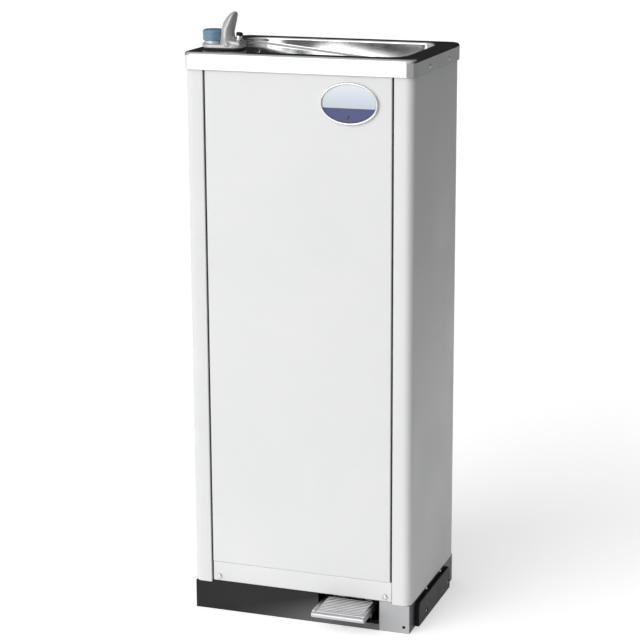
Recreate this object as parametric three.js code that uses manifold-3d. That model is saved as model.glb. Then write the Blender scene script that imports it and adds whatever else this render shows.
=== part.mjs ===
import * as THREE from "three";
import { mergeVertices } from "three/addons/utils/BufferGeometryUtils.js";
import Module from "manifold-3d";

// A compact pedal-operated drinking fountain in millimetres.
// +Z is up, +X is to the right and the front faces -Y.
// The origin is the middle of the base on the floor.

// Driving dimensions

const GAP = 0.3;
const RUNNING_GAP = 0.4;
const CUT = 5;

const CABINET = {
  width: 320,
  depth: 220,
  cornerRadius: 12,
  sheet: 1.2,
  bottom: 41,
  postWidth: 26.5,
  panelGap: 2.3,
  hem: 12,
};

const RIM = {
  overhang: 3,
  height: 23,
  top: 792,
  bend: 5,
  cornerRadius: 15,
  sheet: 1.5,
};

const BASIN = {
  halfLength: 140,
  halfWidth: 91,
  cornerRadius: 28,
  lip: 3,
  foot: 3,
  shallowDepth: 6,
  slope: 0.1,
  deckRight: -75,
  deckBack: -35,
  deckRadius: 26,
  drainX: 95,
  drainY: 0,
  drainHole: 17,
};

const DRAIN = {
  flangeRadius: 22,
  flangeHeight: 1.5,
  slotRadius: 2.4,
  slotCircle: 9,
  slotCount: 6,
  tailRadius: 14,
  tailBore: 12,
  tailFlange: 24,
  tailFlangeHeight: 4,
  tailLength: 45,
  pipeRadius: 8,
  pipeFall: 26,
  pipeBow: 12,
  pipeStandOff: 25,
  pipeSegment: 13.3,
};

const BASE = {
  inset: 1.5,
  wall: 1.5,
  tabTop: 60,
  tabInset: 13,
  plateProud: 4,
  plateHalfLength: 78,
  plateHeight: 34,
  plateChamfer: 6,
};

const PLINTH = {
  sheet: 2,
  windowLeftClearance: 5,
  windowRightClearance: 8,
  windowBottom: 9,
  holeInset: 9,
  holeZ: 9,
  holeRadius: 2.2,
};

const RAIL = {
  bottom: 44,
  top: 72.7,
  setBack: 0.6,
  leftGap: 3,
  lip: 9,
};

const SCREW = {
  headRadius: 4,
  headHeight: 2.6,
  shankRadius: 2,
  shankLength: 7,
  leftInset: 11.5,
  rightInset: 9.5,
  crownShare: 0.45,
  shoulderShare: 0.8,
  z: 51,
};

const BACK_PANEL = {
  slotLength: 55,
  slotHeight: 5,
  slotPitch: 14,
  slotCount: 8,
  slotBottom: 92,
  slotOffsets: [-24, 39],
  upperSlotBottom: 300,
  upperSlotCount: 4,
};

const BADGE = {
  x: 73,
  z: 732,
  halfWidth: 40.5,
  halfHeight: 28.2,
  rim: 3.2,
  depth: 3.6,
  faceDepth: 2.2,
  lampX: 70.5,
  lampZ: 714,
  lampRadius: 2.3,
  lampHeight: 1.2,
};

const BUBBLER = {
  x: -120,
  y: -65,
  turn: 5,
  gasket: 2,
  halfLength: 29,
  halfWidth: 19,
  endRadius: 15,
  footHeight: 5,
  blockLeft: -4,
  blockLeftHeight: 15,
  blockRightHeight: 10.5,
  shoulder: 3,
  guardHalfWidth: 11,
  guardBevel: 3,
  bossX: -14.5,
  neckRadius: 12.6,
  neckTop: 18,
  shankX: 4,
  shankRadius: 7.5,
  shankLength: 34,
  nutRadius: 14,
  nutHeight: 6,
};

// The mouth guard's outline, from the deck's height, left edge first.
const GUARD_LEFT_EDGE = [
  [-6, 7],
  [-7, 18],
  [-6, 30],
  [0, 40],
  [8, 47.5],
];
const GUARD_TIP = [
  [13, 50.6],
  [17.5, 50.2],
  [19.6, 46.5],
];
const GUARD_RIGHT_EDGE = [
  [19, 40],
  [16.5, 30],
  [14.5, 21],
  [14.5, 7],
];

const BUTTON = {
  radius: 14.8,
  bottom: 12,
  height: 14.5,
  round: 3,
  edge: 1,
  travel: 3.5,
  springRadius: 6,
  springWire: 0.9,
  springTurns: 3,
};

const NOZZLE = {
  x: 20.5,
  baseRadius: 5,
  baseHeight: 3,
  bodyRadius: 4,
  collarRadius: 4.6,
  collarHeight: 3.5,
  collarTaper: 0.5,
  collarEdge: 1,
  height: 11,
  bore: 1.6,
};

const PEDAL = {
  x: 69,
  width: 76,
  noseY: -153.5,
  backY: -88,
  top: 35,
  thickness: 9.6,
  railWidth: 5,
  railHeight: 1.6,
  ribPitch: 6,
  ribWidth: 2.6,
  ribHeight: 1,
  armWidth: 30,
  armThickness: 6,
  pivotY: -70,
  pivotZ: 24,
  hubRadius: 9,
  shaftRadius: 5,
  rearY: -18,
  bushRadius: 8,
  armSetBack: 30,
  railOverlap: 1,
  ribInset: 1,
};

const BRACKET = {
  halfSpan: 27,
  sheet: 3,
  front: -86,
  back: -12,
  bridgeFront: -50,
  bridgeZ: 46,
  foot: 14,
};

const VALVE = {
  y: -30,
  radius: 14,
  height: 38,
  portZ: 72,
  portRadius: 7,
  portHalfSpan: 25,
  stemRadius: 2.5,
  stemTop: 58,
  boreDepth: 20,
  throatRadius: 4.5,
  springRadius: 8,
  springWire: 1.1,
  springTurns: 3,
  capHeight: 5,
  capInset: 4,
  tipShare: 0.4,
  tipHeight: 1.5,
};

const SHELF = {
  top: 430,
  front: -80,
  back: 60,
  sheet: 1.5,
  flange: 15,
  pipeHole: 7,
};

const TANK = {
  x: -30,
  y: 0,
  radius: 55,
  wall: 1.5,
  height: 195,
  shoulder: 14,
  neckRadius: 9,
  neckBore: 6,
  neckHeight: 10,
  portZ: 160,
  portRadius: 7,
  portLength: 18,
};

const COIL = {
  tube: 4,
  turns: 3,
  pitch: 34,
  lift: 14,
  clearance: 1.3,
};

const COMPRESSOR = {
  x: 75,
  y: 45,
  radius: 52,
  height: 132,
  shoulder: 18,
  seam: 3,
  plateCorner: 12,
  plateHalfLength: 74,
  plateHalfWidth: 49,
  plate: 3,
  mountRadius: 9,
  mountWaist: 6.5,
  mountHeight: 13,
  mountX: 62,
  mountY: 38,
};

const CONDENSER = {
  sideClearance: 25,
  width: 128,
  front: 63,
  back: 98,
  top: 190,
  fins: 14,
  finShare: 0.5,
  spine: 8,
};

const FAN = {
  z: 100,
  shroudFront: 59,
  shroudSheet: 2,
  opening: 56,
  strapY: 26,
  strapWidth: 30,
  bladeRadius: 51,
  bladeSheet: 2.5,
  bladeWidth: 26,
  bladeCount: 5,
  bladePitch: 26,
  hubRadius: 13,
  hubFront: 36,
  hubLength: 16,
  shaftRadius: 3,
  shaftLength: 24,
  bladeRoot: 2,
  motorRadius: 26,
  motorLength: 28,
  motorBevel: 4,
  motorRim: 3,
};

const SERVICES = {
  inletX: 16,
  inletZ: 90,
  inletRadius: 9,
  inletBore: 6,
  inletFlange: 14,
  inletFlangeDepth: 4,
  inletOut: 14,
  inletIn: 18,
  glandX: 60,
  glandZ: 200,
  glandRadius: 8,
  glandBore: 4.5,
  glandFlange: 12,
  glandFlangeDepth: 3,
  glandOut: 8,
  glandIn: 6,
  outletX: 112,
  outletZ: 190,
  outletOut: 14,
  pipeRadius: 4,
  pipeBend: 24,
  pipeLift: 22,
  riseOffset: 36,
  inletRun: 30,
  inletTurn: 35,
  inletStep: 6,
  inletDrop: 4,
  inletReach: 12,
  inletSegment: 5.9,
  tankSegment: 15.3,
  supplySegment: 7.5,
};

const DIAL = {
  x: -95,
  z: 560,
  radius: 14,
  height: 10,
  shaftRadius: 3,
  gripCount: 8,
  gripRadius: 1.4,
  gripSeat: 2,
  edge: 1,
  bodyWidth: 46,
  bodyHeight: 60,
  bodyDepth: 24,
};

const TERMINAL_BOX = {
  width: 42,
  front: -70,
  back: 10,
  bottom: 250,
  height: 90,
  bevel: 3,
};

const DRYER = {
  x: 30,
  bottom: 230,
  radius: 9,
  length: 80,
  neck: 3,
  taper: 10,
};

const ROUND_SIDES = 24;
const SMALL_SIDES = 12;
const PIPE_SIDES = 6;
const CORNER_STEPS = 4;
const QUARTER = Math.PI / 2;

// Sizes that follow from the driving dimensions

const halfWidth = CABINET.width / 2;
const halfDepth = CABINET.depth / 2;
const innerHalfWidth = halfWidth - CABINET.sheet;
const innerHalfDepth = halfDepth - CABINET.sheet;
const postEdge = halfWidth - CABINET.postWidth;
const panelEdge = postEdge - CABINET.panelGap;
const rimHalfWidth = halfWidth + RIM.overhang;
const rimHalfDepth = halfDepth + RIM.overhang;
const rimUnderside = RIM.top - RIM.sheet;
const panelTop = rimUnderside - CABINET.sheet + GAP / 3;
const baseHalfWidth = innerHalfWidth - GAP;
const baseBack = innerHalfDepth - GAP;
const plinthFront = BASE.inset - halfDepth;
const plinthBack = plinthFront + PLINTH.sheet;
const windowLeft = PEDAL.x - PEDAL.width / 2 - PLINTH.windowLeftClearance;
const windowRight = PEDAL.x + PEDAL.width / 2 + PLINTH.windowRightClearance;
const railLeft = RAIL.leftGap - postEdge;
const screwPlaces = [
  ["left", SCREW.leftInset - postEdge],
  ["right", postEdge - SCREW.rightInset],
];
const condenserLeft = CONDENSER.sideClearance - halfWidth;
const condenserRight = condenserLeft + CONDENSER.width;
const fanX = (condenserLeft + condenserRight) / 2;
const bracketBridgeTop = BRACKET.bridgeZ + BRACKET.sheet;
const pedalUnderside = PEDAL.top - PEDAL.thickness;
const shelfUnderside = SHELF.top - SHELF.sheet;
const drainFloor = floorHeight(BASIN.drainX);
const slopeAngle = Math.atan(BASIN.slope);
const motorShaftY = FAN.strapY - GAP - FAN.motorLength;

const wasm = await Module();
wasm.setup();

// Materials

function finish(color, roughness, metalness) {
  return new THREE.MeshStandardMaterial({ color, roughness, metalness });
}

const PAINT = finish(0xdcdcdc, 0.45, 0);
const STAINLESS = finish(0xc4c6c8, 0.2, 1);
const BLACK_PAINT = finish(0x1a1a1a, 0.5, 0);
const GALVANISED = finish(0x8d9093, 0.4, 1);
const DIE_CAST = finish(0xa4a5a8, 0.5, 0.8);
const CHROME = finish(0xdedfe0, 0.08, 1);
const ALUMINIUM = finish(0xb8b9bb, 0.35, 1);
const BLUE_PLASTIC = finish(0x6390b4, 0.35, 0);
const NAVY_PLASTIC = finish(0x1f2a6b, 0.3, 0);
const BLACK_RUBBER = finish(0x161616, 0.8, 0);
const BLACK_PLASTIC = finish(0x202122, 0.45, 0);
const WHITE_PLASTIC = finish(0xe6e6e2, 0.4, 0);
const COPPER = finish(0xb87349, 0.3, 1);
const BRASS = finish(0xb59a55, 0.3, 1);
const SPRING_STEEL = finish(0x9c9ea1, 0.3, 1);
const LAMP_GREEN = finish(0x2f6f4a, 0.3, 0);

// Shape helpers

function floorHeight(x) {
  return RIM.top - BASIN.shallowDepth - (x + BASIN.halfLength) * BASIN.slope;
}

function signedVolume(geometry) {
  const position = geometry.attributes.position;
  const index = geometry.index;
  const a = new THREE.Vector3();
  const b = new THREE.Vector3();
  const c = new THREE.Vector3();
  let volume = 0;
  for (let i = 0; i < index.count; i += 3) {
    a.fromBufferAttribute(position, index.getX(i));
    b.fromBufferAttribute(position, index.getX(i + 1));
    c.fromBufferAttribute(position, index.getX(i + 2));
    volume += a.dot(b.cross(c));
  }
  return volume;
}

// A closed copy of a geometry, with shared corners merged and its faces outwards.
function closed(geometry) {
  const bare = geometry.clone();
  bare.deleteAttribute("normal");
  bare.deleteAttribute("uv");
  bare.clearGroups();
  const merged = mergeVertices(bare, 1e-4);
  const corners = Array.from(merged.index.array);
  const kept = [];
  for (let i = 0; i < corners.length; i += 3) {
    const [a, b, c] = corners.slice(i, i + 3);
    if (a !== b && b !== c && c !== a) {
      kept.push(a, b, c);
    }
  }
  merged.setIndex(kept);
  if (signedVolume(merged) < 0) {
    merged.setIndex(kept.reverse());
  }
  return merged;
}

function solid(geometry) {
  const shape = closed(geometry);
  const vertProperties = new Float32Array(shape.attributes.position.array);
  const triVerts = new Uint32Array(shape.index.array);
  return new wasm.Manifold(new wasm.Mesh({ numProp: 3, vertProperties, triVerts }));
}

function geometryOf(manifold) {
  const mesh = manifold.getMesh();
  const geometry = new THREE.BufferGeometry();
  geometry.setAttribute("position", new THREE.BufferAttribute(mesh.vertProperties, 3));
  geometry.setIndex(new THREE.BufferAttribute(mesh.triVerts, 1));
  return geometry;
}

function join(first, ...others) {
  return others.reduce((sum, next) => sum.add(solid(next)), solid(first));
}

function cut(body, ...tools) {
  return tools.reduce((rest, tool) => rest.subtract(solid(tool)), body);
}

function piece(name, shape, material) {
  const geometry = shape.isBufferGeometry ? closed(shape) : geometryOf(shape);
  const mesh = new THREE.Mesh(geometry, material);
  mesh.name = name;
  return mesh;
}

function block(x0, x1, y0, y1, z0, z1) {
  const box = new THREE.BoxGeometry(x1 - x0, y1 - y0, z1 - z0);
  return box.translate((x0 + x1) / 2, (y0 + y1) / 2, (z0 + z1) / 2);
}

// A prism of a plan outline, from z0 to z1.
function slab(shape, z0, z1) {
  const prism = new THREE.ExtrudeGeometry(shape, {
    depth: z1 - z0,
    bevelEnabled: false,
    curveSegments: CORNER_STEPS,
  });
  return prism.translate(0, 0, z0);
}

// A prism of an outline in X and Z, from y0 to y1.
function frontSlab(shape, y0, y1) {
  return slab(shape, -y1, -y0).rotateX(Math.PI / 2);
}

// A prism of an outline in Y and Z, from x0 to x1.
function sideSlab(shape, x0, x1) {
  return slab(shape, x0, x1).rotateX(Math.PI / 2).rotateZ(Math.PI / 2);
}

function outline(points) {
  return new THREE.Shape(points.map(([a, b]) => new THREE.Vector2(a, b)));
}

function rodZ(radius, z0, z1, x = 0, y = 0, sides = SMALL_SIDES) {
  const rod = new THREE.CylinderGeometry(radius, radius, z1 - z0, sides);
  return rod.rotateX(Math.PI / 2).translate(x, y, (z0 + z1) / 2);
}

function rodY(radius, y0, y1, x = 0, z = 0, sides = SMALL_SIDES) {
  const rod = new THREE.CylinderGeometry(radius, radius, y1 - y0, sides);
  return rod.translate(x, (y0 + y1) / 2, z);
}

function rodX(radius, x0, x1, y = 0, z = 0, sides = SMALL_SIDES) {
  const rod = new THREE.CylinderGeometry(radius, radius, x1 - x0, sides);
  return rod.rotateZ(Math.PI / 2).translate((x0 + x1) / 2, y, z);
}

// A turned piece about Z from [radius, height] points.
function turned(profile, sides = ROUND_SIDES) {
  const points = profile.map(([radius, height]) => new THREE.Vector2(radius, height));
  return new THREE.LatheGeometry(points, sides).rotateX(Math.PI / 2);
}

// A turned piece about Y, with its heights pointing back.
function turnedBack(profile, sides = ROUND_SIDES) {
  return turned(profile, sides).rotateX(-Math.PI / 2);
}

// A round section swept along a curve.
function sweep(curve, radius, steps, sides = PIPE_SIDES) {
  const section = new THREE.Shape();
  for (let i = 0; i < sides; i += 1) {
    const angle = (i / sides) * 2 * Math.PI;
    const x = radius * Math.cos(angle);
    const y = radius * Math.sin(angle);
    if (i === 0) {
      section.moveTo(x, y);
    } else {
      section.lineTo(x, y);
    }
  }
  return new THREE.ExtrudeGeometry(section, { steps, extrudePath: curve, bevelEnabled: false });
}

function pipe(points, radius, segment) {
  const corners = points.map(([x, y, z]) => new THREE.Vector3(x, y, z));
  const curve = new THREE.CatmullRomCurve3(corners, false, "centripetal");
  return sweep(curve, radius, Math.round(curve.getLength() / segment));
}

class Helix extends THREE.Curve {
  constructor(radius, bottom, height, turns) {
    super();
    this.radius = radius;
    this.bottom = bottom;
    this.height = height;
    this.turns = turns;
  }

  getPoint(t, target = new THREE.Vector3()) {
    const angle = t * this.turns * 2 * Math.PI;
    const x = this.radius * Math.cos(angle);
    const y = this.radius * Math.sin(angle);
    return target.set(x, y, this.bottom + t * this.height);
  }
}

function spring(radius, wire, turns, z0, z1) {
  const height = z1 - z0 - 2 * wire;
  const stepsPerTurn = 10;
  const sides = 6;
  return sweep(new Helix(radius, z0 + wire, height, turns), wire, turns * stepsPerTurn, sides);
}

// Points round an arc in plan, both ends included.
function arc(x, y, radius, from, to) {
  const points = [];
  for (let i = 0; i <= CORNER_STEPS; i += 1) {
    const angle = from + (i / CORNER_STEPS) * (to - from);
    points.push(new THREE.Vector2(x + radius * Math.cos(angle), y + radius * Math.sin(angle)));
  }
  return points;
}

// The corners of a rectangle with round corners, centred on the origin.
function roundRectanglePoints(halfX, halfY, radius) {
  const x = halfX - radius;
  const y = halfY - radius;
  return [
    ...arc(x, -y, radius, -QUARTER, 0),
    ...arc(x, y, radius, 0, QUARTER),
    ...arc(-x, y, radius, QUARTER, 2 * QUARTER),
    ...arc(-x, -y, radius, 2 * QUARTER, 3 * QUARTER),
  ];
}

function roundRectangle(halfX, halfY, radius) {
  return new THREE.Shape(roundRectanglePoints(halfX, halfY, radius));
}

// A solid through rings of points, each ring with as many points as the last.
function loft(rings) {
  const count = rings[0].length;
  const positions = rings.flat().flatMap((point) => [point.x, point.y, point.z]);
  const index = [];
  for (let ring = 0; ring + 1 < rings.length; ring += 1) {
    for (let i = 0; i < count; i += 1) {
      const next = (i + 1) % count;
      const a = ring * count + i;
      const b = ring * count + next;
      const c = a + count;
      const d = b + count;
      index.push(a, b, d, a, d, c);
    }
  }
  const cap = (ring, flip) => {
    const flat = rings[ring].map((point) => new THREE.Vector2(point.x, point.y));
    for (const [a, b, c] of THREE.ShapeUtils.triangulateShape(flat, [])) {
      const [p, q, r] = flip ? [c, b, a] : [a, b, c];
      index.push(ring * count + p, ring * count + q, ring * count + r);
    }
  };
  cap(0, true);
  cap(rings.length - 1, false);
  const geometry = new THREE.BufferGeometry();
  geometry.setAttribute("position", new THREE.Float32BufferAttribute(positions, 3));
  geometry.setIndex(index);
  return geometry;
}

function ringAt(points, height) {
  return points.map((point) => new THREE.Vector3(point.x, point.y, height(point.x)));
}

// Base

function basePan() {
  const wallFront = plinthBack + GAP;
  const sideWall = outline([
    [wallFront, 0],
    [baseBack, 0],
    [baseBack, CABINET.bottom - GAP],
    [halfDepth - BASE.tabInset, CABINET.bottom - GAP],
    [halfDepth - BASE.tabInset, BASE.tabTop],
    [BASE.tabInset - halfDepth, BASE.tabTop],
    [BASE.tabInset - halfDepth, CABINET.bottom - GAP],
    [wallFront, CABINET.bottom - GAP],
  ]);
  const tabHalfWidth = panelEdge - 2 * CABINET.sheet;
  const backWall = outline([
    [-baseHalfWidth, 0],
    [baseHalfWidth, 0],
    [baseHalfWidth, CABINET.bottom - GAP],
    [tabHalfWidth, CABINET.bottom - GAP],
    [tabHalfWidth, BASE.tabTop],
    [-tabHalfWidth, BASE.tabTop],
    [-tabHalfWidth, CABINET.bottom - GAP],
    [-baseHalfWidth, CABINET.bottom - GAP],
  ]);
  const pan = join(
    block(-baseHalfWidth, baseHalfWidth, wallFront, baseBack, 0, BASE.wall),
    sideSlab(sideWall, -baseHalfWidth, BASE.wall - baseHalfWidth),
    sideSlab(sideWall, baseHalfWidth - BASE.wall, baseHalfWidth),
    frontSlab(backWall, baseBack - BASE.wall, baseBack),
  );
  return piece("base_pan", pan, BLACK_PAINT);
}

function sidePlate(name, side) {
  const half = BASE.plateHalfLength;
  const shape = outline([
    [-half, 0],
    [half, 0],
    [half, BASE.plateHeight - BASE.plateChamfer],
    [half - BASE.plateChamfer, BASE.plateHeight],
    [BASE.plateChamfer - half, BASE.plateHeight],
    [-half, BASE.plateHeight - BASE.plateChamfer],
  ]);
  const near = side * (baseHalfWidth + GAP);
  const far = side * (halfWidth + BASE.plateProud);
  return piece(name, sideSlab(shape, Math.min(near, far), Math.max(near, far)), BLACK_PLASTIC);
}

function plinth() {
  const shoulder = CABINET.bottom - GAP;
  const top = RAIL.bottom - GAP;
  const shape = outline([
    [-baseHalfWidth, 0],
    [baseHalfWidth, 0],
    [baseHalfWidth, shoulder],
    [postEdge - GAP, shoulder],
    [postEdge - GAP, top],
    [GAP - postEdge, top],
    [GAP - postEdge, shoulder],
    [-baseHalfWidth, shoulder],
  ]);
  const plate = solid(frontSlab(shape, plinthFront, plinthBack));
  const front = plinthFront - CUT;
  const back = plinthBack + CUT;
  const opened = cut(
    plate,
    block(windowLeft, windowRight, front, back, PLINTH.windowBottom, top + CUT),
    rodY(PLINTH.holeRadius, front, back, halfWidth - PLINTH.holeInset, PLINTH.holeZ),
  );
  return piece("plinth_front", opened, GALVANISED);
}

// Cabinet

// Half the cabinet's wall in plan: post, side and rear post, with a hem at each open edge.
function sidePanel(name, side) {
  const radius = CABINET.cornerRadius;
  const inner = radius - CABINET.sheet;
  const arcX = halfWidth - radius;
  const arcY = halfDepth - radius;
  const hemY = halfDepth - CABINET.hem;
  const hemX = postEdge + CABINET.sheet;
  const shape = new THREE.Shape();
  shape.moveTo(postEdge, -hemY);
  shape.lineTo(postEdge, -halfDepth);
  shape.lineTo(arcX, -halfDepth);
  shape.absarc(arcX, -arcY, radius, -Math.PI / 2, 0);
  shape.lineTo(halfWidth, arcY);
  shape.absarc(arcX, arcY, radius, 0, Math.PI / 2);
  shape.lineTo(postEdge, halfDepth);
  shape.lineTo(postEdge, hemY);
  shape.lineTo(hemX, hemY);
  shape.lineTo(hemX, innerHalfDepth);
  shape.lineTo(arcX, innerHalfDepth);
  shape.absarc(arcX, arcY, inner, Math.PI / 2, 0, true);
  shape.lineTo(innerHalfWidth, -arcY);
  shape.absarc(arcX, -arcY, inner, 0, -Math.PI / 2, true);
  shape.lineTo(hemX, -innerHalfDepth);
  shape.lineTo(hemX, -hemY);
  const wall = slab(shape, CABINET.bottom, panelTop).scale(side, 1, 1);
  return piece(name, wall, PAINT);
}

// A flat panel between the posts in plan, with a hem at each side.
function hemmedPanel(front, bottom) {
  const back = front + CABINET.hem;
  const skin = front + CABINET.sheet;
  const hem = panelEdge - CABINET.sheet;
  const shape = outline([
    [-panelEdge, back],
    [-panelEdge, front],
    [panelEdge, front],
    [panelEdge, back],
    [hem, back],
    [hem, skin],
    [-hem, skin],
    [-hem, back],
  ]);
  return slab(shape, bottom, panelTop);
}

function frontPanel() {
  return piece("front_panel", hemmedPanel(-halfDepth, RAIL.top + GAP), PAINT);
}

function louvreSlots() {
  const slots = [];
  const rows = [
    [BACK_PANEL.slotBottom, BACK_PANEL.slotCount],
    [BACK_PANEL.upperSlotBottom, BACK_PANEL.upperSlotCount],
  ];
  for (const offset of BACK_PANEL.slotOffsets) {
    const centre = fanX + offset;
    for (const [bottom, count] of rows) {
      for (let i = 0; i < count; i += 1) {
        const z = bottom + i * BACK_PANEL.slotPitch;
        const left = centre - BACK_PANEL.slotLength / 2;
        const right = centre + BACK_PANEL.slotLength / 2;
        slots.push(block(left, right, innerHalfDepth - CUT, halfDepth + CUT, z, z + BACK_PANEL.slotHeight));
      }
    }
  }
  return slots;
}

function backPanel() {
  const front = innerHalfDepth - CUT;
  const back = halfDepth + CUT;
  const inletHole = SERVICES.inletRadius + RUNNING_GAP;
  const glandHole = SERVICES.glandRadius + RUNNING_GAP;
  const outletHole = DRAIN.pipeRadius + RUNNING_GAP;
  const dialHole = DIAL.shaftRadius + RUNNING_GAP;
  const panel = cut(
    solid(hemmedPanel(-halfDepth, RAIL.bottom).rotateZ(Math.PI)),
    ...louvreSlots(),
    rodY(inletHole, front, back, SERVICES.inletX, SERVICES.inletZ),
    rodY(glandHole, front, back, SERVICES.glandX, SERVICES.glandZ),
    rodY(outletHole, front, back, SERVICES.outletX, SERVICES.outletZ),
    rodY(dialHole, front, back, DIAL.x, DIAL.z),
  );
  return piece("back_panel", panel, PAINT);
}

// The folded channel that closes the cabinet's front under the panel.
function kickRail() {
  const face = RAIL.setBack - halfDepth;
  const skin = face + CABINET.sheet;
  const back = face + RAIL.lip;
  const shape = outline([
    [face, RAIL.bottom],
    [back, RAIL.bottom],
    [back, RAIL.bottom + CABINET.sheet],
    [skin, RAIL.bottom + CABINET.sheet],
    [skin, RAIL.top - CABINET.sheet],
    [back, RAIL.top - CABINET.sheet],
    [back, RAIL.top],
    [face, RAIL.top],
  ]);
  const holes = screwPlaces.map(([, x]) => (
    rodY(SCREW.shankRadius + RUNNING_GAP, face - CUT, skin + CUT / 2, x, SCREW.z)
  ));
  const rail = cut(solid(sideSlab(shape, railLeft, postEdge - GAP)), ...holes);
  return piece("kick_rail", rail, PAINT);
}

function railScrew(name, x) {
  const seat = -GAP;
  const top = seat - SCREW.headHeight;
  const screw = turnedBack([
    [0, top],
    [SCREW.headRadius * SCREW.crownShare, top + SCREW.headHeight / 10],
    [SCREW.headRadius * SCREW.shoulderShare, top + (SCREW.headHeight * 2) / 5],
    [SCREW.headRadius, seat],
    [SCREW.shankRadius, seat],
    [SCREW.shankRadius, SCREW.shankLength],
    [0, SCREW.shankLength],
  ], SMALL_SIDES);
  const mesh = piece(name, screw, CHROME);
  mesh.position.set(x, RAIL.setBack - halfDepth, SCREW.z);
  return mesh;
}

// Basin top

// The rim's outer or inner skin: an upright skirt with a bent upper edge.
function skirt(offset, bottom, top, bend) {
  const ring = (inset, z) => {
    const radius = RIM.cornerRadius - offset - inset;
    const halfX = rimHalfWidth - offset - inset;
    const halfY = rimHalfDepth - offset - inset;
    return ringAt(roundRectanglePoints(halfX, halfY, radius), () => z);
  };
  const rings = [ring(0, bottom)];
  const bendSteps = 3;
  for (let i = 0; i <= bendSteps; i += 1) {
    const angle = (i / bendSteps) * QUARTER;
    rings.push(ring(bend * (1 - Math.cos(angle)), top - bend + bend * Math.sin(angle)));
  }
  return loft(rings);
}

// The basin's outline, drawn in by inset, with a corner left as deck for the bubbler.
function basinOutline(inset) {
  const x = BASIN.halfLength - inset;
  const y = BASIN.halfWidth - inset;
  const radius = BASIN.cornerRadius - inset;
  const small = BASIN.cornerRadius / 2 - inset;
  const deckX = BASIN.deckRight + inset;
  const deckY = BASIN.deckBack + inset;
  const deckRadius = BASIN.deckRadius + inset;
  return [
    ...arc(x - radius, -y + radius, radius, -QUARTER, 0),
    ...arc(x - radius, y - radius, radius, 0, QUARTER),
    ...arc(-x + radius, y - radius, radius, QUARTER, 2 * QUARTER),
    ...arc(-x + small, deckY + small, small, 2 * QUARTER, 3 * QUARTER),
    ...arc(deckX - deckRadius, deckY - deckRadius, deckRadius, QUARTER, 0),
    ...arc(deckX + small, -y + small, small, 2 * QUARTER, 3 * QUARTER),
  ];
}

// What the bowl encloses, from above the deck down to its sloping floor.
function bowlSpace() {
  const steps = 3;
  const rings = [ringAt(basinOutline(0), () => RIM.top + CUT), ringAt(basinOutline(0), () => RIM.top)];
  for (let i = 1; i <= steps; i += 1) {
    const angle = (i / steps) * QUARTER;
    const inset = BASIN.lip * Math.sin(angle);
    const z = RIM.top - BASIN.lip * (1 - Math.cos(angle));
    rings.push(ringAt(basinOutline(inset), () => z));
  }
  for (let i = 0; i <= steps; i += 1) {
    const angle = (i / steps) * QUARTER;
    const inset = BASIN.lip + BASIN.foot * (1 - Math.cos(angle));
    const rise = BASIN.foot * (1 - Math.sin(angle));
    rings.push(ringAt(basinOutline(inset), (x) => floorHeight(x) + rise));
  }
  return loft(rings.reverse());
}

function bowlShell() {
  const inset = BASIN.lip - RIM.sheet;
  const rings = [
    ringAt(basinOutline(inset), (x) => floorHeight(x) - RIM.sheet),
    ringAt(basinOutline(inset), () => RIM.top - RIM.sheet / 2),
  ];
  return loft(rings);
}

function basinTop() {
  const bottom = RIM.top - RIM.height;
  const outer = solid(skirt(0, bottom, RIM.top, RIM.bend));
  const inner = skirt(RIM.sheet, bottom - CUT, rimUnderside, RIM.bend - RIM.sheet);
  const deep = floorHeight(BASIN.halfLength) - CUT * CUT;
  const shankHole = rodZ(BUBBLER.shankRadius + RUNNING_GAP, deep, RIM.top + CUT, ...shankPlace());
  const drainHole = rodZ(BASIN.drainHole, deep, RIM.top + CUT, BASIN.drainX, BASIN.drainY, ROUND_SIDES);
  const shell = cut(outer, inner).add(solid(bowlShell()));
  return piece("basin_top", cut(shell, bowlSpace(), shankHole, drainHole), STAINLESS);
}

// Pieces about the drain, which stand square to the sloping floor.
function drainGroup() {
  const group = new THREE.Group();
  group.position.set(BASIN.drainX, BASIN.drainY, drainFloor);
  group.rotation.y = slopeAngle;
  group.add(strainer(), drainTail());
  return group;
}

function strainer() {
  const under = GAP;
  const top = under + DRAIN.flangeHeight;
  const disc = solid(turned([
    [0, under],
    [DRAIN.flangeRadius - 1, under],
    [DRAIN.flangeRadius, under + DRAIN.flangeHeight / 2],
    [DRAIN.flangeRadius - 1, top],
    [0, top],
  ]));
  const holes = [rodZ(DRAIN.slotRadius, under - CUT, top + CUT)];
  for (let i = 0; i < DRAIN.slotCount; i += 1) {
    const angle = (i / DRAIN.slotCount) * 2 * Math.PI;
    const x = DRAIN.slotCircle * Math.cos(angle);
    const y = DRAIN.slotCircle * Math.sin(angle);
    holes.push(rodZ(DRAIN.slotRadius, under - CUT, top + CUT, x, y));
  }
  return piece("drain_strainer", cut(disc, ...holes), STAINLESS);
}

function drainTail() {
  const top = -RIM.sheet - GAP;
  const shoulder = top - DRAIN.tailFlangeHeight;
  const bottom = top - DRAIN.tailLength;
  const tail = turned([
    [DRAIN.tailBore, bottom],
    [DRAIN.tailRadius, bottom],
    [DRAIN.tailRadius, shoulder],
    [DRAIN.tailFlange, shoulder],
    [DRAIN.tailFlange, top],
    [DRAIN.tailBore, top],
    [DRAIN.tailBore, bottom],
  ]);
  return piece("drain_tail", tail, BLACK_PLASTIC);
}

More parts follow.
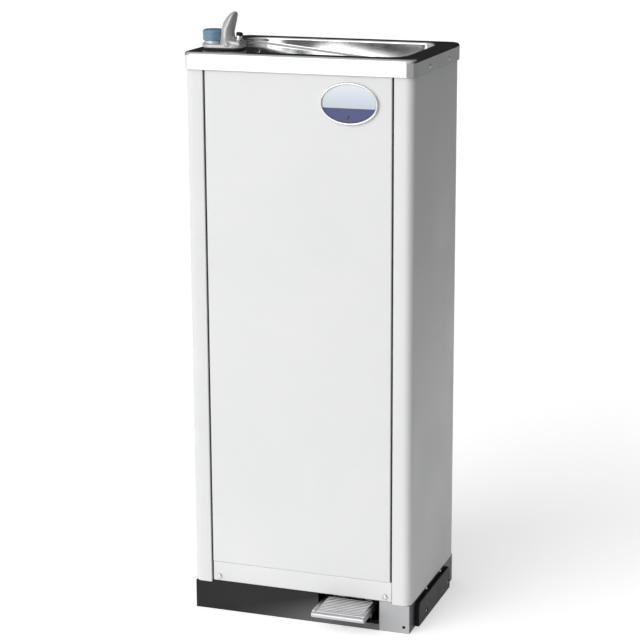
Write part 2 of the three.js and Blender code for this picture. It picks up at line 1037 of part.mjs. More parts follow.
function drainPipe() {
  const reach = RIM.sheet + GAP + DRAIN.tailLength + GAP;
  const startX = BASIN.drainX - reach * Math.sin(slopeAngle);
  const startZ = drainFloor - reach * Math.cos(slopeAngle);
  const { pipeFall, pipeBow, pipeStandOff } = DRAIN;
  const runX = SERVICES.outletX + pipeBow;
  const runY = halfDepth - pipeStandOff;
  const route = [
    [startX, BASIN.drainY, startZ],
    [startX - 2, BASIN.drainY + 1, startZ - pipeFall],
    [startX + pipeBow, BASIN.drainY + 30, startZ - 3 * pipeFall],
    [runX, runY, startZ - 6 * pipeFall],
    [runX, runY, startZ - 7 * pipeFall],
    [runX, runY, SHELF.top],
    [runX, runY, SERVICES.outletZ + 5 * pipeFall],
    [SERVICES.outletX, runY, SERVICES.outletZ + pipeFall],
    [SERVICES.outletX, runY + 8, SERVICES.outletZ + 5],
    [SERVICES.outletX, innerHalfDepth, SERVICES.outletZ],
    [SERVICES.outletX, halfDepth + SERVICES.outletOut, SERVICES.outletZ],
  ];
  return piece("drain_pipe", pipe(route, DRAIN.pipeRadius - RUNNING_GAP, DRAIN.pipeSegment), BLACK_PLASTIC);
}

// Bubbler

function shankPlace() {
  const turn = THREE.MathUtils.degToRad(BUBBLER.turn);
  return [
    BUBBLER.x + BUBBLER.shankX * Math.cos(turn),
    BUBBLER.y + BUBBLER.shankX * Math.sin(turn),
  ];
}

function bubblerGroup() {
  const group = new THREE.Group();
  group.position.set(BUBBLER.x, BUBBLER.y, RIM.top);
  group.rotation.z = THREE.MathUtils.degToRad(BUBBLER.turn);
  group.add(
    bubblerGasket(),
    bubblerBody(),
    bubblerShank(),
    shankNut(),
    pushButton(),
    buttonSpring(),
    nozzle(),
  );
  return group;
}

function bubblerFoot(bottom, top, inset) {
  const halfX = BUBBLER.halfLength - inset;
  const halfY = BUBBLER.halfWidth - inset;
  return slab(roundRectangle(halfX, halfY, BUBBLER.endRadius - inset), bottom, top);
}

function bubblerGasket() {
  const plate = solid(bubblerFoot(GAP, GAP + BUBBLER.gasket, 1));
  const hole = rodZ(BUBBLER.shankRadius + RUNNING_GAP, -CUT, CUT, BUBBLER.shankX);
  return piece("bubbler_gasket", cut(plate, hole), BLACK_RUBBER);
}

function guard() {
  const points = [...GUARD_LEFT_EDGE, ...GUARD_TIP, ...GUARD_RIGHT_EDGE];
  const shape = new THREE.Shape();
  shape.moveTo(...points[0]);
  shape.splineThru(points.slice(1, -1).map(([x, z]) => new THREE.Vector2(x, z)));
  shape.lineTo(...points.at(-1));
  const flat = BUBBLER.guardHalfWidth - BUBBLER.guardBevel;
  const fin = new THREE.ExtrudeGeometry(shape, {
    depth: 2 * flat,
    bevelEnabled: true,
    bevelThickness: BUBBLER.guardBevel,
    bevelSize: BUBBLER.guardBevel,
    bevelOffset: -BUBBLER.guardBevel,
    bevelSegments: 2,
    curveSegments: 2,
  });
  return fin.translate(0, 0, -flat).rotateX(Math.PI / 2);
}

function bubblerBody() {
  const bottom = 2 * GAP + BUBBLER.gasket;
  const top = bottom + BUBBLER.footHeight;
  const right = BUBBLER.halfLength;
  const { shoulder } = BUBBLER;
  const wedge = outline([
    [BUBBLER.blockLeft, top - 1],
    [right - shoulder / 2, top - 1],
    [right - shoulder / 2, BUBBLER.blockRightHeight - shoulder / 2],
    [right - shoulder, BUBBLER.blockRightHeight],
    [BUBBLER.blockLeft, BUBBLER.blockLeftHeight],
  ]);
  const halfBlock = BUBBLER.halfWidth - shoulder;
  const clearance = BUTTON.radius + RUNNING_GAP;
  const mass = join(
    bubblerFoot(bottom, top, 0),
    frontSlab(wedge, -halfBlock, halfBlock),
    guard(),
  );
  const freed = cut(mass, rodZ(clearance, top, RIM.height * CUT, BUBBLER.bossX, 0, ROUND_SIDES));
  const neck = solid(turned([
    [0, top - 1],
    [BUBBLER.neckRadius, top - 1],
    [BUBBLER.neckRadius, BUBBLER.neckTop],
    [0, BUBBLER.neckTop],
  ]).translate(BUBBLER.bossX, 0, 0));
  return piece("bubbler_body", freed.add(neck), DIE_CAST);
}

function bubblerShank() {
  const top = BUBBLER.gasket + GAP;
  const shank = rodZ(BUBBLER.shankRadius, top - BUBBLER.shankLength, top, BUBBLER.shankX);
  return piece("bubbler_shank", shank, BRASS);
}

function shankNut() {
  const top = -RIM.sheet - GAP;
  const sides = 6;
  const nut = solid(rodZ(BUBBLER.nutRadius, top - BUBBLER.nutHeight, top, BUBBLER.shankX, 0, sides));
  const bore = rodZ(BUBBLER.shankRadius + RUNNING_GAP, -BUBBLER.shankLength, CUT, BUBBLER.shankX);
  return piece("shank_nut", cut(nut, bore), BRASS);
}

// A cap that slides down over the neck.
function pushButton() {
  const inner = BUBBLER.neckRadius + RUNNING_GAP;
  const ceiling = BUBBLER.neckTop + BUTTON.travel + RUNNING_GAP;
  const top = BUTTON.bottom + BUTTON.height;
  const cap = turned([
    [0, ceiling],
    [inner, ceiling],
    [inner, BUTTON.bottom],
    [BUTTON.radius - BUTTON.edge, BUTTON.bottom],
    [BUTTON.radius, BUTTON.bottom + BUTTON.edge],
    [BUTTON.radius, top - BUTTON.round],
    [BUTTON.radius - BUTTON.edge, top - (BUTTON.round * 2) / 5],
    [BUTTON.radius - BUTTON.round, top - BUTTON.round / 6],
    [0, top],
  ]).translate(BUBBLER.bossX, 0, 0);
  return piece("push_button", cap, BLUE_PLASTIC);
}

function buttonSpring() {
  const bottom = BUBBLER.neckTop + GAP;
  const top = BUBBLER.neckTop + BUTTON.travel + RUNNING_GAP - GAP;
  const coil = spring(BUTTON.springRadius, BUTTON.springWire / 2, BUTTON.springTurns, bottom, top);
  return piece("button_spring", coil.translate(BUBBLER.bossX, 0, 0), SPRING_STEEL);
}

function nozzle() {
  const collarBottom = NOZZLE.height - NOZZLE.collarHeight;
  const body = turned([
    [NOZZLE.bore, 0],
    [NOZZLE.baseRadius, 0],
    [NOZZLE.baseRadius, NOZZLE.baseHeight],
    [NOZZLE.bodyRadius, NOZZLE.baseHeight + NOZZLE.collarEdge],
    [NOZZLE.bodyRadius, collarBottom - NOZZLE.collarTaper],
    [NOZZLE.collarRadius, collarBottom],
    [NOZZLE.collarRadius, NOZZLE.height - NOZZLE.collarEdge],
    [NOZZLE.collarRadius - NOZZLE.collarEdge, NOZZLE.height],
    [NOZZLE.bore, NOZZLE.height],
    [NOZZLE.bore, 0],
  ], SMALL_SIDES);
  const mesh = piece("nozzle", body, CHROME);
  const run = BUBBLER.halfLength - BUBBLER.shoulder - BUBBLER.blockLeft;
  const slope = (BUBBLER.blockLeftHeight - BUBBLER.blockRightHeight) / run;
  const seat = BUBBLER.blockLeftHeight - slope * (NOZZLE.x - BUBBLER.blockLeft);
  mesh.position.set(NOZZLE.x, 0, seat + GAP);
  mesh.rotation.y = Math.atan(slope);
  return mesh;
}

// Badge

function ellipse(halfX, halfZ) {
  const shape = new THREE.Shape();
  shape.absellipse(0, 0, halfX, halfZ, 0, 2 * Math.PI);
  return outline(shape.getPoints(ROUND_SIDES).slice(0, -1).map((point) => [point.x, point.y]));
}

function badgePieces() {
  const face = -halfDepth - GAP;
  const bezelOuter = frontSlab(ellipse(BADGE.halfWidth, BADGE.halfHeight), face - BADGE.depth, face);
  const innerX = BADGE.halfWidth - BADGE.rim;
  const innerZ = BADGE.halfHeight - BADGE.rim;
  const bezelInner = frontSlab(ellipse(innerX, innerZ), face - BADGE.depth - CUT, face + CUT);
  const bezel = piece("badge_bezel", cut(solid(bezelOuter), bezelInner), CHROME);
  const plateShape = ellipse(innerX - GAP, innerZ - GAP);
  const plate = piece("badge_plate", frontSlab(plateShape, face - BADGE.faceDepth, face), NAVY_PLASTIC);
  for (const mesh of [bezel, plate]) {
    mesh.position.set(BADGE.x, 0, BADGE.z);
  }
  const lampBack = face - BADGE.faceDepth - GAP;
  const lampShape = rodY(BADGE.lampRadius, lampBack - BADGE.lampHeight, lampBack, BADGE.lampX, BADGE.lampZ);
  return [bezel, plate, piece("badge_lamp", lampShape, LAMP_GREEN)];
}

// Pedal and its valve

function pedalTread() {
  const left = PEDAL.x - PEDAL.width / 2;
  const right = PEDAL.x + PEDAL.width / 2;
  const deck = PEDAL.top - PEDAL.railHeight;
  const nose = PEDAL.thickness / 2;
  const section = new THREE.Shape();
  const noseRadius = (deck - pedalUnderside) / 2;
  section.moveTo(PEDAL.backY, pedalUnderside);
  section.lineTo(PEDAL.backY, deck);
  section.lineTo(PEDAL.noseY + noseRadius, deck);
  section.absarc(PEDAL.noseY + noseRadius, pedalUnderside + noseRadius, noseRadius, Math.PI / 2, Math.PI * 1.5);
  let tread = solid(sideSlab(section, left, right));
  for (const x of [left, right - PEDAL.railWidth]) {
    const rail = block(x, x + PEDAL.railWidth, PEDAL.noseY + nose, PEDAL.backY, deck - PEDAL.railOverlap, PEDAL.top);
    tread = tread.add(solid(rail));
  }
  const ribs = Math.floor((PEDAL.backY - PEDAL.noseY - 2 * nose) / PEDAL.ribPitch);
  for (let i = 0; i < ribs; i += 1) {
    const y = PEDAL.noseY + nose + PEDAL.ribInset + i * PEDAL.ribPitch;
    const ribLeft = left + PEDAL.ribInset;
    const ribRight = right - PEDAL.ribInset;
    const ribTop = deck + PEDAL.ribHeight;
    const rib = block(ribLeft, ribRight, y, y + PEDAL.ribWidth, deck - PEDAL.railOverlap, ribTop);
    tread = tread.add(solid(rib));
  }
  return piece("pedal_tread", tread, ALUMINIUM);
}

function pedalLever() {
  const left = PEDAL.x - PEDAL.armWidth / 2;
  const right = PEDAL.x + PEDAL.armWidth / 2;
  const armTop = pedalUnderside - GAP;
  const armBottom = armTop - PEDAL.armThickness;
  const rearBottom = PEDAL.pivotZ - PEDAL.armThickness / 2;
  const rearTop = PEDAL.pivotZ + PEDAL.armThickness / 2;
  const arm = join(
    block(left, right, PEDAL.noseY + PEDAL.armSetBack, PEDAL.pivotY, armBottom, armTop),
    block(left, right, PEDAL.pivotY, PEDAL.rearY, rearBottom, rearTop),
    rodX(PEDAL.hubRadius, left, right, PEDAL.pivotY, PEDAL.pivotZ, ROUND_SIDES),
  );
  const bore = PEDAL.shaftRadius + GAP;
  const lever = cut(arm, rodX(bore, left - CUT, right + CUT, PEDAL.pivotY, PEDAL.pivotZ, ROUND_SIDES));
  return piece("pedal_lever", lever, GALVANISED);
}

function pedalShaft() {
  const reach = BRACKET.halfSpan + 2 * BRACKET.sheet;
  const shaft = rodX(PEDAL.shaftRadius, PEDAL.x - reach, PEDAL.x + reach, PEDAL.pivotY, PEDAL.pivotZ);
  return piece("pedal_shaft", shaft, CHROME);
}

function pedalBush(name, side) {
  const near = PEDAL.x + side * (PEDAL.armWidth / 2 + GAP);
  const far = PEDAL.x + side * (BRACKET.halfSpan - BRACKET.sheet / 2 - GAP);
  const x0 = Math.min(near, far);
  const x1 = Math.max(near, far);
  const ring = solid(rodX(PEDAL.bushRadius, x0, x1, PEDAL.pivotY, PEDAL.pivotZ));
  const bore = rodX(PEDAL.shaftRadius + GAP, x0 - CUT, x1 + CUT, PEDAL.pivotY, PEDAL.pivotZ);
  return piece(name, cut(ring, bore), WHITE_PLASTIC);
}

// Two cheeks that hold the shaft, joined behind it by a bridge that holds the valve.
function pedalBracket() {
  const floor = BASE.wall + GAP;
  const half = BRACKET.sheet / 2;
  const parts = [];
  for (const side of [-1, 1]) {
    const x = PEDAL.x + side * BRACKET.halfSpan;
    const footEdge = x + side * BRACKET.foot;
    const cheek = outline([
      [BRACKET.front, floor],
      [BRACKET.back, floor],
      [BRACKET.back, bracketBridgeTop],
      [BRACKET.bridgeFront, bracketBridgeTop],
      [BRACKET.front, PEDAL.pivotZ + PEDAL.hubRadius],
    ]);
    parts.push(sideSlab(cheek, x - half, x + half));
    const x0 = Math.min(x, footEdge);
    const x1 = Math.max(x, footEdge);
    parts.push(block(x0, x1, BRACKET.front, BRACKET.back, floor, floor + BRACKET.sheet));
  }
  const left = PEDAL.x - BRACKET.halfSpan;
  const right = PEDAL.x + BRACKET.halfSpan;
  parts.push(block(left, right, BRACKET.bridgeFront, BRACKET.back, BRACKET.bridgeZ, bracketBridgeTop));
  const reach = BRACKET.halfSpan + CUT;
  const shaftBore = PEDAL.shaftRadius + GAP;
  const bracket = cut(
    join(...parts),
    rodX(shaftBore, PEDAL.x - reach, PEDAL.x + reach, PEDAL.pivotY, PEDAL.pivotZ),
    rodZ(VALVE.throatRadius, BRACKET.bridgeZ - CUT, bracketBridgeTop + CUT, PEDAL.x, VALVE.y),
  );
  return piece("pedal_bracket", bracket, GALVANISED);
}

function returnSpring() {
  const bottom = PEDAL.pivotZ + PEDAL.armThickness / 2 + GAP;
  const top = BRACKET.bridgeZ - GAP;
  const coil = spring(VALVE.springRadius, VALVE.springWire, VALVE.springTurns, bottom, top);
  return piece("pedal_spring", coil.translate(PEDAL.x, VALVE.y, 0), SPRING_STEEL);
}

function footValve() {
  const bottom = bracketBridgeTop + GAP;
  const top = bottom + VALVE.height;
  const left = PEDAL.x - VALVE.portHalfSpan;
  const right = PEDAL.x + VALVE.portHalfSpan;
  const shell = turned([
    [0, bottom],
    [VALVE.radius, bottom],
    [VALVE.radius, top - VALVE.capHeight],
    [VALVE.radius - VALVE.capInset, top],
    [0, top],
  ]).translate(PEDAL.x, VALVE.y, 0);
  const body = join(shell, rodX(VALVE.portRadius, left, right, VALVE.y, VALVE.portZ));
  const bore = rodZ(VALVE.stemRadius + RUNNING_GAP, bottom - CUT, bottom + VALVE.boreDepth, PEDAL.x, VALVE.y);
  return piece("foot_valve", cut(body, bore), BRASS);
}

function valveStem() {
  const bottom = PEDAL.pivotZ + PEDAL.armThickness / 2 + GAP;
  const stem = turned([
    [0, bottom],
    [VALVE.stemRadius * VALVE.tipShare, bottom],
    [VALVE.stemRadius, bottom + VALVE.tipHeight],
    [VALVE.stemRadius, VALVE.stemTop],
    [0, VALVE.stemTop],
  ], SMALL_SIDES).translate(PEDAL.x, VALVE.y, 0);
  return piece("valve_stem", stem, CHROME);
}

// Cold water

function tankShelf() {
  const half = innerHalfWidth - GAP;
  const parts = [block(-half, half, SHELF.front, SHELF.back, shelfUnderside, SHELF.top)];
  for (const side of [-1, 1]) {
    const x0 = side < 0 ? -half : half - SHELF.sheet;
    parts.push(block(x0, x0 + SHELF.sheet, SHELF.front, SHELF.back, SHELF.top - SHELF.flange, SHELF.top));
  }
  const [pipeX, pipeY] = risePlace();
  const shelf = cut(join(...parts), rodZ(SHELF.pipeHole, shelfUnderside - CUT, SHELF.top + CUT, pipeX, pipeY));
  return piece("tank_shelf", shelf, GALVANISED);
}

function coldTank() {
  const bottom = SHELF.top + GAP;
  const top = bottom + TANK.height;
  const inner = TANK.radius - TANK.wall;
  const shell = solid(turned([
    [0, bottom],
    [TANK.radius, bottom],
    [TANK.radius, top - TANK.shoulder],
    [TANK.radius - TANK.shoulder, top],
    [TANK.neckRadius, top],
    [TANK.neckRadius, top + TANK.neckHeight],
    [TANK.neckBore, top + TANK.neckHeight],
    [TANK.neckBore, top - TANK.wall],
    [inner - TANK.shoulder, top - TANK.wall],
    [inner, top - TANK.shoulder],
    [inner, bottom + TANK.wall],
    [0, bottom + TANK.wall],
  ]));
  const portEnd = TANK.radius + TANK.portLength;
  const port = rodX(TANK.portRadius, TANK.radius - TANK.wall, portEnd, 0, bottom + TANK.portZ);
  return piece("cold_tank", geometryOf(shell.add(solid(port))).translate(TANK.x, TANK.y, 0), STAINLESS);
}

function coolingCoil() {
  const radius = TANK.radius + COIL.tube + COIL.clearance;
  const stepsPerTurn = 18;
  const sides = 6;
  const helix = new Helix(radius, SHELF.top + COIL.lift, COIL.turns * COIL.pitch, COIL.turns);
  const coil = sweep(helix, COIL.tube, COIL.turns * stepsPerTurn, sides);
  return piece("cooling_coil", coil.translate(TANK.x, TANK.y, 0), COPPER);
}

// Where the valve's pipe rises through the shelf.
function risePlace() {
  return [PEDAL.x + VALVE.portHalfSpan + SERVICES.riseOffset, VALVE.y];
}

function inletPipe() {
  const { inletRun, inletTurn, inletStep, inletDrop, inletReach } = SERVICES;
  const end = PEDAL.x - VALVE.portHalfSpan - GAP;
  const start = innerHalfDepth - SERVICES.inletIn - GAP;
  const route = [
    [SERVICES.inletX, start, SERVICES.inletZ],
    [SERVICES.inletX, start - inletRun, SERVICES.inletZ],
    [SERVICES.inletX, VALVE.y + inletTurn, SERVICES.inletZ - inletDrop],
    [SERVICES.inletX + inletStep, VALVE.y + 2 * inletDrop, VALVE.portZ + inletDrop],
    [end - inletReach, VALVE.y, VALVE.portZ],
    [end, VALVE.y, VALVE.portZ],
  ];
  return piece("inlet_pipe", pipe(route, SERVICES.pipeRadius, SERVICES.inletSegment), COPPER);
}

function tankPipe() {
  const start = PEDAL.x + VALVE.portHalfSpan + GAP;
  const end = TANK.x + TANK.radius + TANK.portLength + GAP;
  const portZ = SHELF.top + GAP + TANK.portZ;
  const [riseX, riseY] = risePlace();
  const bend = SERVICES.pipeBend;
  const route = [
    [start, VALVE.y, VALVE.portZ],
    [start + bend / 2, riseY, VALVE.portZ],
    [riseX, riseY, VALVE.portZ + bend],
    [riseX, riseY, SHELF.top / 2],
    [riseX, riseY, SHELF.top],
    [riseX, riseY, portZ - 2 * bend],
    [riseX - bend, riseY + bend / 2, portZ - bend / 4],
    [end + bend, TANK.y, portZ],
    [end, TANK.y, portZ],
  ];
  return piece("tank_pipe", pipe(route, SERVICES.pipeRadius, SERVICES.tankSegment), COPPER);
}

function supplyPipe() {
  const neckTop = SHELF.top + GAP + TANK.height + TANK.neckHeight + GAP;
  const [endX, endY] = shankPlace();
  const endZ = RIM.top + BUBBLER.gasket + GAP - BUBBLER.shankLength - GAP;
  const lift = SERVICES.pipeLift;
  const route = [
    [TANK.x, TANK.y, neckTop],
    [TANK.x, TANK.y, neckTop + lift],
    [(TANK.x + endX) / 2, (TANK.y + endY) / 2, (neckTop + endZ) / 2],
    [endX, endY, endZ - lift],
    [endX, endY, endZ],
  ];
  return piece("supply_pipe", pipe(route, SERVICES.pipeRadius, SERVICES.supplySegment), COPPER);
}

// Refrigeration

function compressor() {
  const plateBottom = BASE.wall + GAP + COMPRESSOR.mountHeight + GAP;
  const bottom = plateBottom + COMPRESSOR.plate;
  const top = bottom + COMPRESSOR.height;
  const middle = (bottom + top) / 2;
  const { radius, shoulder, seam } = COMPRESSOR;
  const can = turned([
    [0, bottom - 1],
    [radius - shoulder, bottom - 1],
    [radius - shoulder / 3, bottom + shoulder / 2],
    [radius - seam, bottom + shoulder],
    [radius - seam, middle - seam],
    [radius, middle - seam],
    [radius, middle + seam],
    [radius - seam, middle + seam],
    [radius - seam, top - shoulder],
    [radius - shoulder / 2, top - shoulder / 3],
    [radius - 2 * shoulder, top],
    [0, top],
  ]).translate(COMPRESSOR.x, COMPRESSOR.y, 0);
  const halfX = COMPRESSOR.plateHalfLength;
  const halfY = COMPRESSOR.plateHalfWidth;
  const plate = slab(roundRectangle(halfX, halfY, COMPRESSOR.plateCorner), plateBottom, bottom);
  plate.translate(COMPRESSOR.x, COMPRESSOR.y, 0);
  return piece("compressor", join(can, plate), BLACK_PAINT);
}

function compressorMounts() {
  const bottom = BASE.wall + GAP;
  const top = bottom + COMPRESSOR.mountHeight;
  const meshes = [];
  for (const [across, xSide] of [["left", -1], ["right", 1]]) {
    for (const [along, ySide] of [["front", -1], ["back", 1]]) {
      const shape = turned([
        [0, bottom],
        [COMPRESSOR.mountRadius, bottom],
        [COMPRESSOR.mountWaist, (bottom + top) / 2],
        [COMPRESSOR.mountRadius, top],
        [0, top],
      ], SMALL_SIDES);
      const mesh = piece(`compressor_mount_${across}_${along}`, shape, BLACK_RUBBER);
      const x = COMPRESSOR.x + xSide * COMPRESSOR.mountX;
      mesh.position.set(x, COMPRESSOR.y + ySide * COMPRESSOR.mountY, 0);
      meshes.push(mesh);
    }
  }
  return meshes;
}

function condenser() {
  const pitch = CONDENSER.width / CONDENSER.fins;
  const points = [
    [condenserRight, CONDENSER.back],
    [condenserLeft, CONDENSER.back],
  ];
  const root = CONDENSER.back - CONDENSER.spine;
  for (let i = 0; i < CONDENSER.fins; i += 1) {
    const x = condenserLeft + i * pitch;
    const fin = i === CONDENSER.fins - 1 ? pitch : pitch * CONDENSER.finShare;
    points.push([x, CONDENSER.front], [x + fin, CONDENSER.front]);
    if (i < CONDENSER.fins - 1) {
      points.push([x + fin, root], [x + pitch, root]);
    }
  }
  return piece("condenser", slab(outline(points), BASE.wall + GAP, CONDENSER.top), ALUMINIUM);
}

function fanShroud() {
  const { shroudFront, shroudSheet, strapY, strapWidth } = FAN;
  const bottom = BASE.wall + GAP;
  const back = shroudFront + shroudSheet;
  const low = FAN.z - strapWidth / 2;
  const high = FAN.z + strapWidth / 2;
  const left = condenserLeft;
  const right = condenserRight;
  const plate = solid(block(left, right, shroudFront, back, bottom, CONDENSER.top));
  const opened = cut(plate, rodY(FAN.opening, shroudFront - CUT, back + CUT, fanX, FAN.z, ROUND_SIDES));
  const strap = solid(block(left, right, strapY, strapY + shroudSheet, low, high));
  const legLeft = solid(block(left, left + shroudSheet, strapY, back, low, high));
  const legRight = solid(block(right - shroudSheet, right, strapY, back, low, high));
  const hole = rodY(FAN.shaftRadius + RUNNING_GAP, strapY - CUT, strapY + CUT, fanX, FAN.z);
  return piece("fan_shroud", cut(opened.add(strap).add(legLeft).add(legRight), hole), GALVANISED);
}

function fanMotor() {
  const back = FAN.strapY - GAP;
  const shaftEnd = back + FAN.shaftLength;
  const motor = turnedBack([
    [0, motorShaftY],
    [FAN.motorRadius - FAN.motorBevel, motorShaftY],
    [FAN.motorRadius, motorShaftY + FAN.motorBevel],
    [FAN.motorRadius, back - FAN.motorRim],
    [FAN.motorRadius - FAN.motorBevel, back],
    [FAN.shaftRadius, back],
    [FAN.shaftRadius, shaftEnd],
    [0, shaftEnd],
  ]).translate(fanX, 0, FAN.z);
  return piece("fan_motor", motor, BLACK_PAINT);
}

function fanBlade() {
  const { hubFront, hubLength, hubRadius, bladeRadius, bladeRoot, bladeSheet, bladeWidth } = FAN;
  let rotor = solid(rodY(hubRadius, hubFront, hubFront + hubLength));
  for (let i = 0; i < FAN.bladeCount; i += 1) {
    const blade = new THREE.BoxGeometry(bladeWidth, bladeSheet, bladeRadius - hubRadius + bladeRoot);
    blade.rotateZ(THREE.MathUtils.degToRad(FAN.bladePitch));
    blade.translate(0, hubFront + hubLength / 2, (bladeRadius + hubRadius - bladeRoot) / 2);
    blade.rotateY((i / FAN.bladeCount) * 2 * Math.PI);
    rotor = rotor.add(solid(blade));
  }
  const bore = rodY(FAN.shaftRadius + GAP, hubFront - CUT, FAN.strapY + FAN.shaftLength + 1);
  const shape = geometryOf(cut(rotor, bore)).translate(fanX, 0, FAN.z);
  return piece("fan_blade", shape, ALUMINIUM);
}

function filterDryer() {
  const top = DRYER.bottom + DRYER.length;
  const shape = turned([
    [0, DRYER.bottom],
    [DRYER.neck, DRYER.bottom],
    [DRYER.radius, DRYER.bottom + DRYER.taper],
    [DRYER.radius, top - DRYER.taper],
    [DRYER.neck, top],
    [0, top],
  ], SMALL_SIDES);
  const y = innerHalfDepth - GAP - DRYER.radius;
  return piece("filter_dryer", shape.translate(DRYER.x, y, 0), COPPER);
}

// Controls and services

function terminalBox() {
  const { width, front, back, bottom, height, bevel } = TERMINAL_BOX;
  const left = GAP - innerHalfWidth;
  const right = left + width;
  const shape = outline([
    [left, front],
    [right - bevel, front],
    [right, front + bevel],
    [right, back - bevel],
    [right - bevel, back],
    [left, back],
  ]);
  return piece("terminal_box", slab(shape, bottom, bottom + height), BLACK_PLASTIC);
}

function thermostat() {
  const back = innerHalfDepth - GAP;
  const halfX = DIAL.bodyWidth / 2;
  const halfZ = DIAL.bodyHeight / 2;
  const shape = block(
    DIAL.x - halfX,
    DIAL.x + halfX,
    back - DIAL.bodyDepth,
    back,
    DIAL.z - halfZ,
    DIAL.z + halfZ,
  );
  return piece("thermostat", shape, BLACK_PLASTIC);
}

function thermostatDial() {
  const seat = halfDepth + GAP;
  const outer = seat + DIAL.height;
  const knob = solid(turnedBack([
    [0, innerHalfDepth],
    [DIAL.shaftRadius, innerHalfDepth],
    [DIAL.shaftRadius, seat],
    [DIAL.radius, seat],
    [DIAL.radius - DIAL.edge, outer - DIAL.edge],
    [DIAL.radius - 2 * DIAL.edge, outer],
    [0, outer],
  ]));
  const grips = [];
  for (let i = 0; i < DIAL.gripCount; i += 1) {
    const angle = (i / DIAL.gripCount) * 2 * Math.PI;
    const x = DIAL.radius * Math.cos(angle);
    const z = DIAL.radius * Math.sin(angle);
    grips.push(rodY(DIAL.gripRadius, seat + DIAL.gripSeat, outer + CUT, x, z, PIPE_SIDES));
  }
  const shape = geometryOf(cut(knob, ...grips)).translate(DIAL.x, 0, DIAL.z);
  return piece("thermostat_dial", shape, BLACK_PLASTIC);
}

// A flanged socket in the back panel, with its bore right through.
function socket(name, material, { x, z, radius, bore, flange, flangeDepth, out, inside }) {
  const seat = halfDepth + GAP;
  const shape = turnedBack([
    [bore, innerHalfDepth - inside],
    [radius, innerHalfDepth - inside],
    [radius, seat],
    [flange, seat],
    [flange, seat + flangeDepth],
    [radius, seat + flangeDepth],
    [radius, seat + out],
    [bore, seat + out],
    [bore, innerHalfDepth - inside],
  ], SMALL_SIDES);
  return piece(name, shape.translate(x, 0, z), material);
}

function waterInlet() {
  return socket("water_inlet", BRASS, {
    x: SERVICES.inletX,
    z: SERVICES.inletZ,
    radius: SERVICES.inletRadius,
    bore: SERVICES.inletBore,
    flange: SERVICES.inletFlange,
    flangeDepth: SERVICES.inletFlangeDepth,
    out: SERVICES.inletOut,
    inside: SERVICES.inletIn,
  });
}

function powerGland() {
  return socket("power_gland", BLACK_RUBBER, {
    x: SERVICES.glandX,
    z: SERVICES.glandZ,
    radius: SERVICES.glandRadius,
    bore: SERVICES.glandBore,
    flange: SERVICES.glandFlange,
    flangeDepth: SERVICES.glandFlangeDepth,
    out: SERVICES.glandOut,
    inside: SERVICES.glandIn,
  });
}

// The whole fountain

const fountain = new THREE.Group();
fountain.name = "drinking_fountain";
fountain.add(
  basePan(),
  sidePlate("side_plate_left", -1),
  sidePlate("side_plate_right", 1),
  plinth(),
  sidePanel("side_panel_left", -1),
  sidePanel("side_panel_right", 1),
  frontPanel(),
  backPanel(),
  kickRail(),
  ...screwPlaces.map(([name, x]) => railScrew(`rail_screw_${name}`, x)),
  basinTop(),
  drainGroup(),
  drainPipe(),
  bubblerGroup(),
  ...badgePieces(),
  pedalTread(),
  pedalLever(),
  pedalShaft(),
  pedalBush("pedal_bush_left", -1),
  pedalBush("pedal_bush_right", 1),
  pedalBracket(),
  returnSpring(),
  footValve(),
  valveStem(),
  tankShelf(),
  coldTank(),
  coolingCoil(),
  inletPipe(),
  tankPipe(),
  supplyPipe(),
  compressor(),
  ...compressorMounts(),
  condenser(),
  fanShroud(),
  fanMotor(),
  fanBlade(),
  filterDryer(),
  terminalBox(),
  thermostat(),
  thermostatDial(),
  waterInlet(),
  powerGland(),
);

export default fountain;
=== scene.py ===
"""Looks of a compact pedal-operated drinking fountain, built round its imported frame."""

import logging
import math
from collections.abc import Callable, Sequence
from dataclasses import dataclass, field
from enum import Enum

import bmesh
import bpy
from mathutils import Matrix, Vector


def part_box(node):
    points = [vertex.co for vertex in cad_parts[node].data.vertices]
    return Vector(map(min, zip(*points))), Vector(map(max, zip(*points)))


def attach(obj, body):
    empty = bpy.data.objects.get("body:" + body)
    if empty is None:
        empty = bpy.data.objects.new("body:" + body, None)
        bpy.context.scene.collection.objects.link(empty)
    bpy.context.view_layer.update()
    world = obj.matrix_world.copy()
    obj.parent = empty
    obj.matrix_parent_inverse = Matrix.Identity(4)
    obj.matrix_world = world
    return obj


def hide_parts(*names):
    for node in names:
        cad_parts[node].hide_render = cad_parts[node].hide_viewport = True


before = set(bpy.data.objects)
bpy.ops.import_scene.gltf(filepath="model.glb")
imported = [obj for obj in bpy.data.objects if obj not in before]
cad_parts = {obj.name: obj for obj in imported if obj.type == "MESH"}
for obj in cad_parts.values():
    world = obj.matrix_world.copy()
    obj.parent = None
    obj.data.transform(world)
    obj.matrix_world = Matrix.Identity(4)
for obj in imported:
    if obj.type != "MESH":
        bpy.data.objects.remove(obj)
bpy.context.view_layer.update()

LOG = logging.getLogger("fountain")
MM = 0.001
QUARTER = math.pi / 2
Color = tuple[float, float, float]
Point = tuple[float, float]


class Body(Enum):
    """The frame's moving bodies."""

    CABINET = "cabinet"
    BUTTON = "button"
    PEDAL = "pedal"
    DIAL = "dial"
    FAN = "fan"
    STEM = "stem"


class Axis(Enum):
    """The direction that a turned piece or a prism points in."""

    UP = "up"
    FRONT = "front"
    BACK = "back"
    RIGHT = "right"

    def matrix(self) -> Matrix:
        """Returns the turn that takes +Z to this direction."""
        turns = {
            Axis.UP: Matrix.Identity(4),
            Axis.FRONT: Matrix.Rotation(QUARTER, 4, "X"),
            Axis.BACK: Matrix.Rotation(-QUARTER, 4, "X"),
            Axis.RIGHT: Matrix.Rotation(QUARTER, 4, "Y"),
        }
        return turns[self]


# Node trees


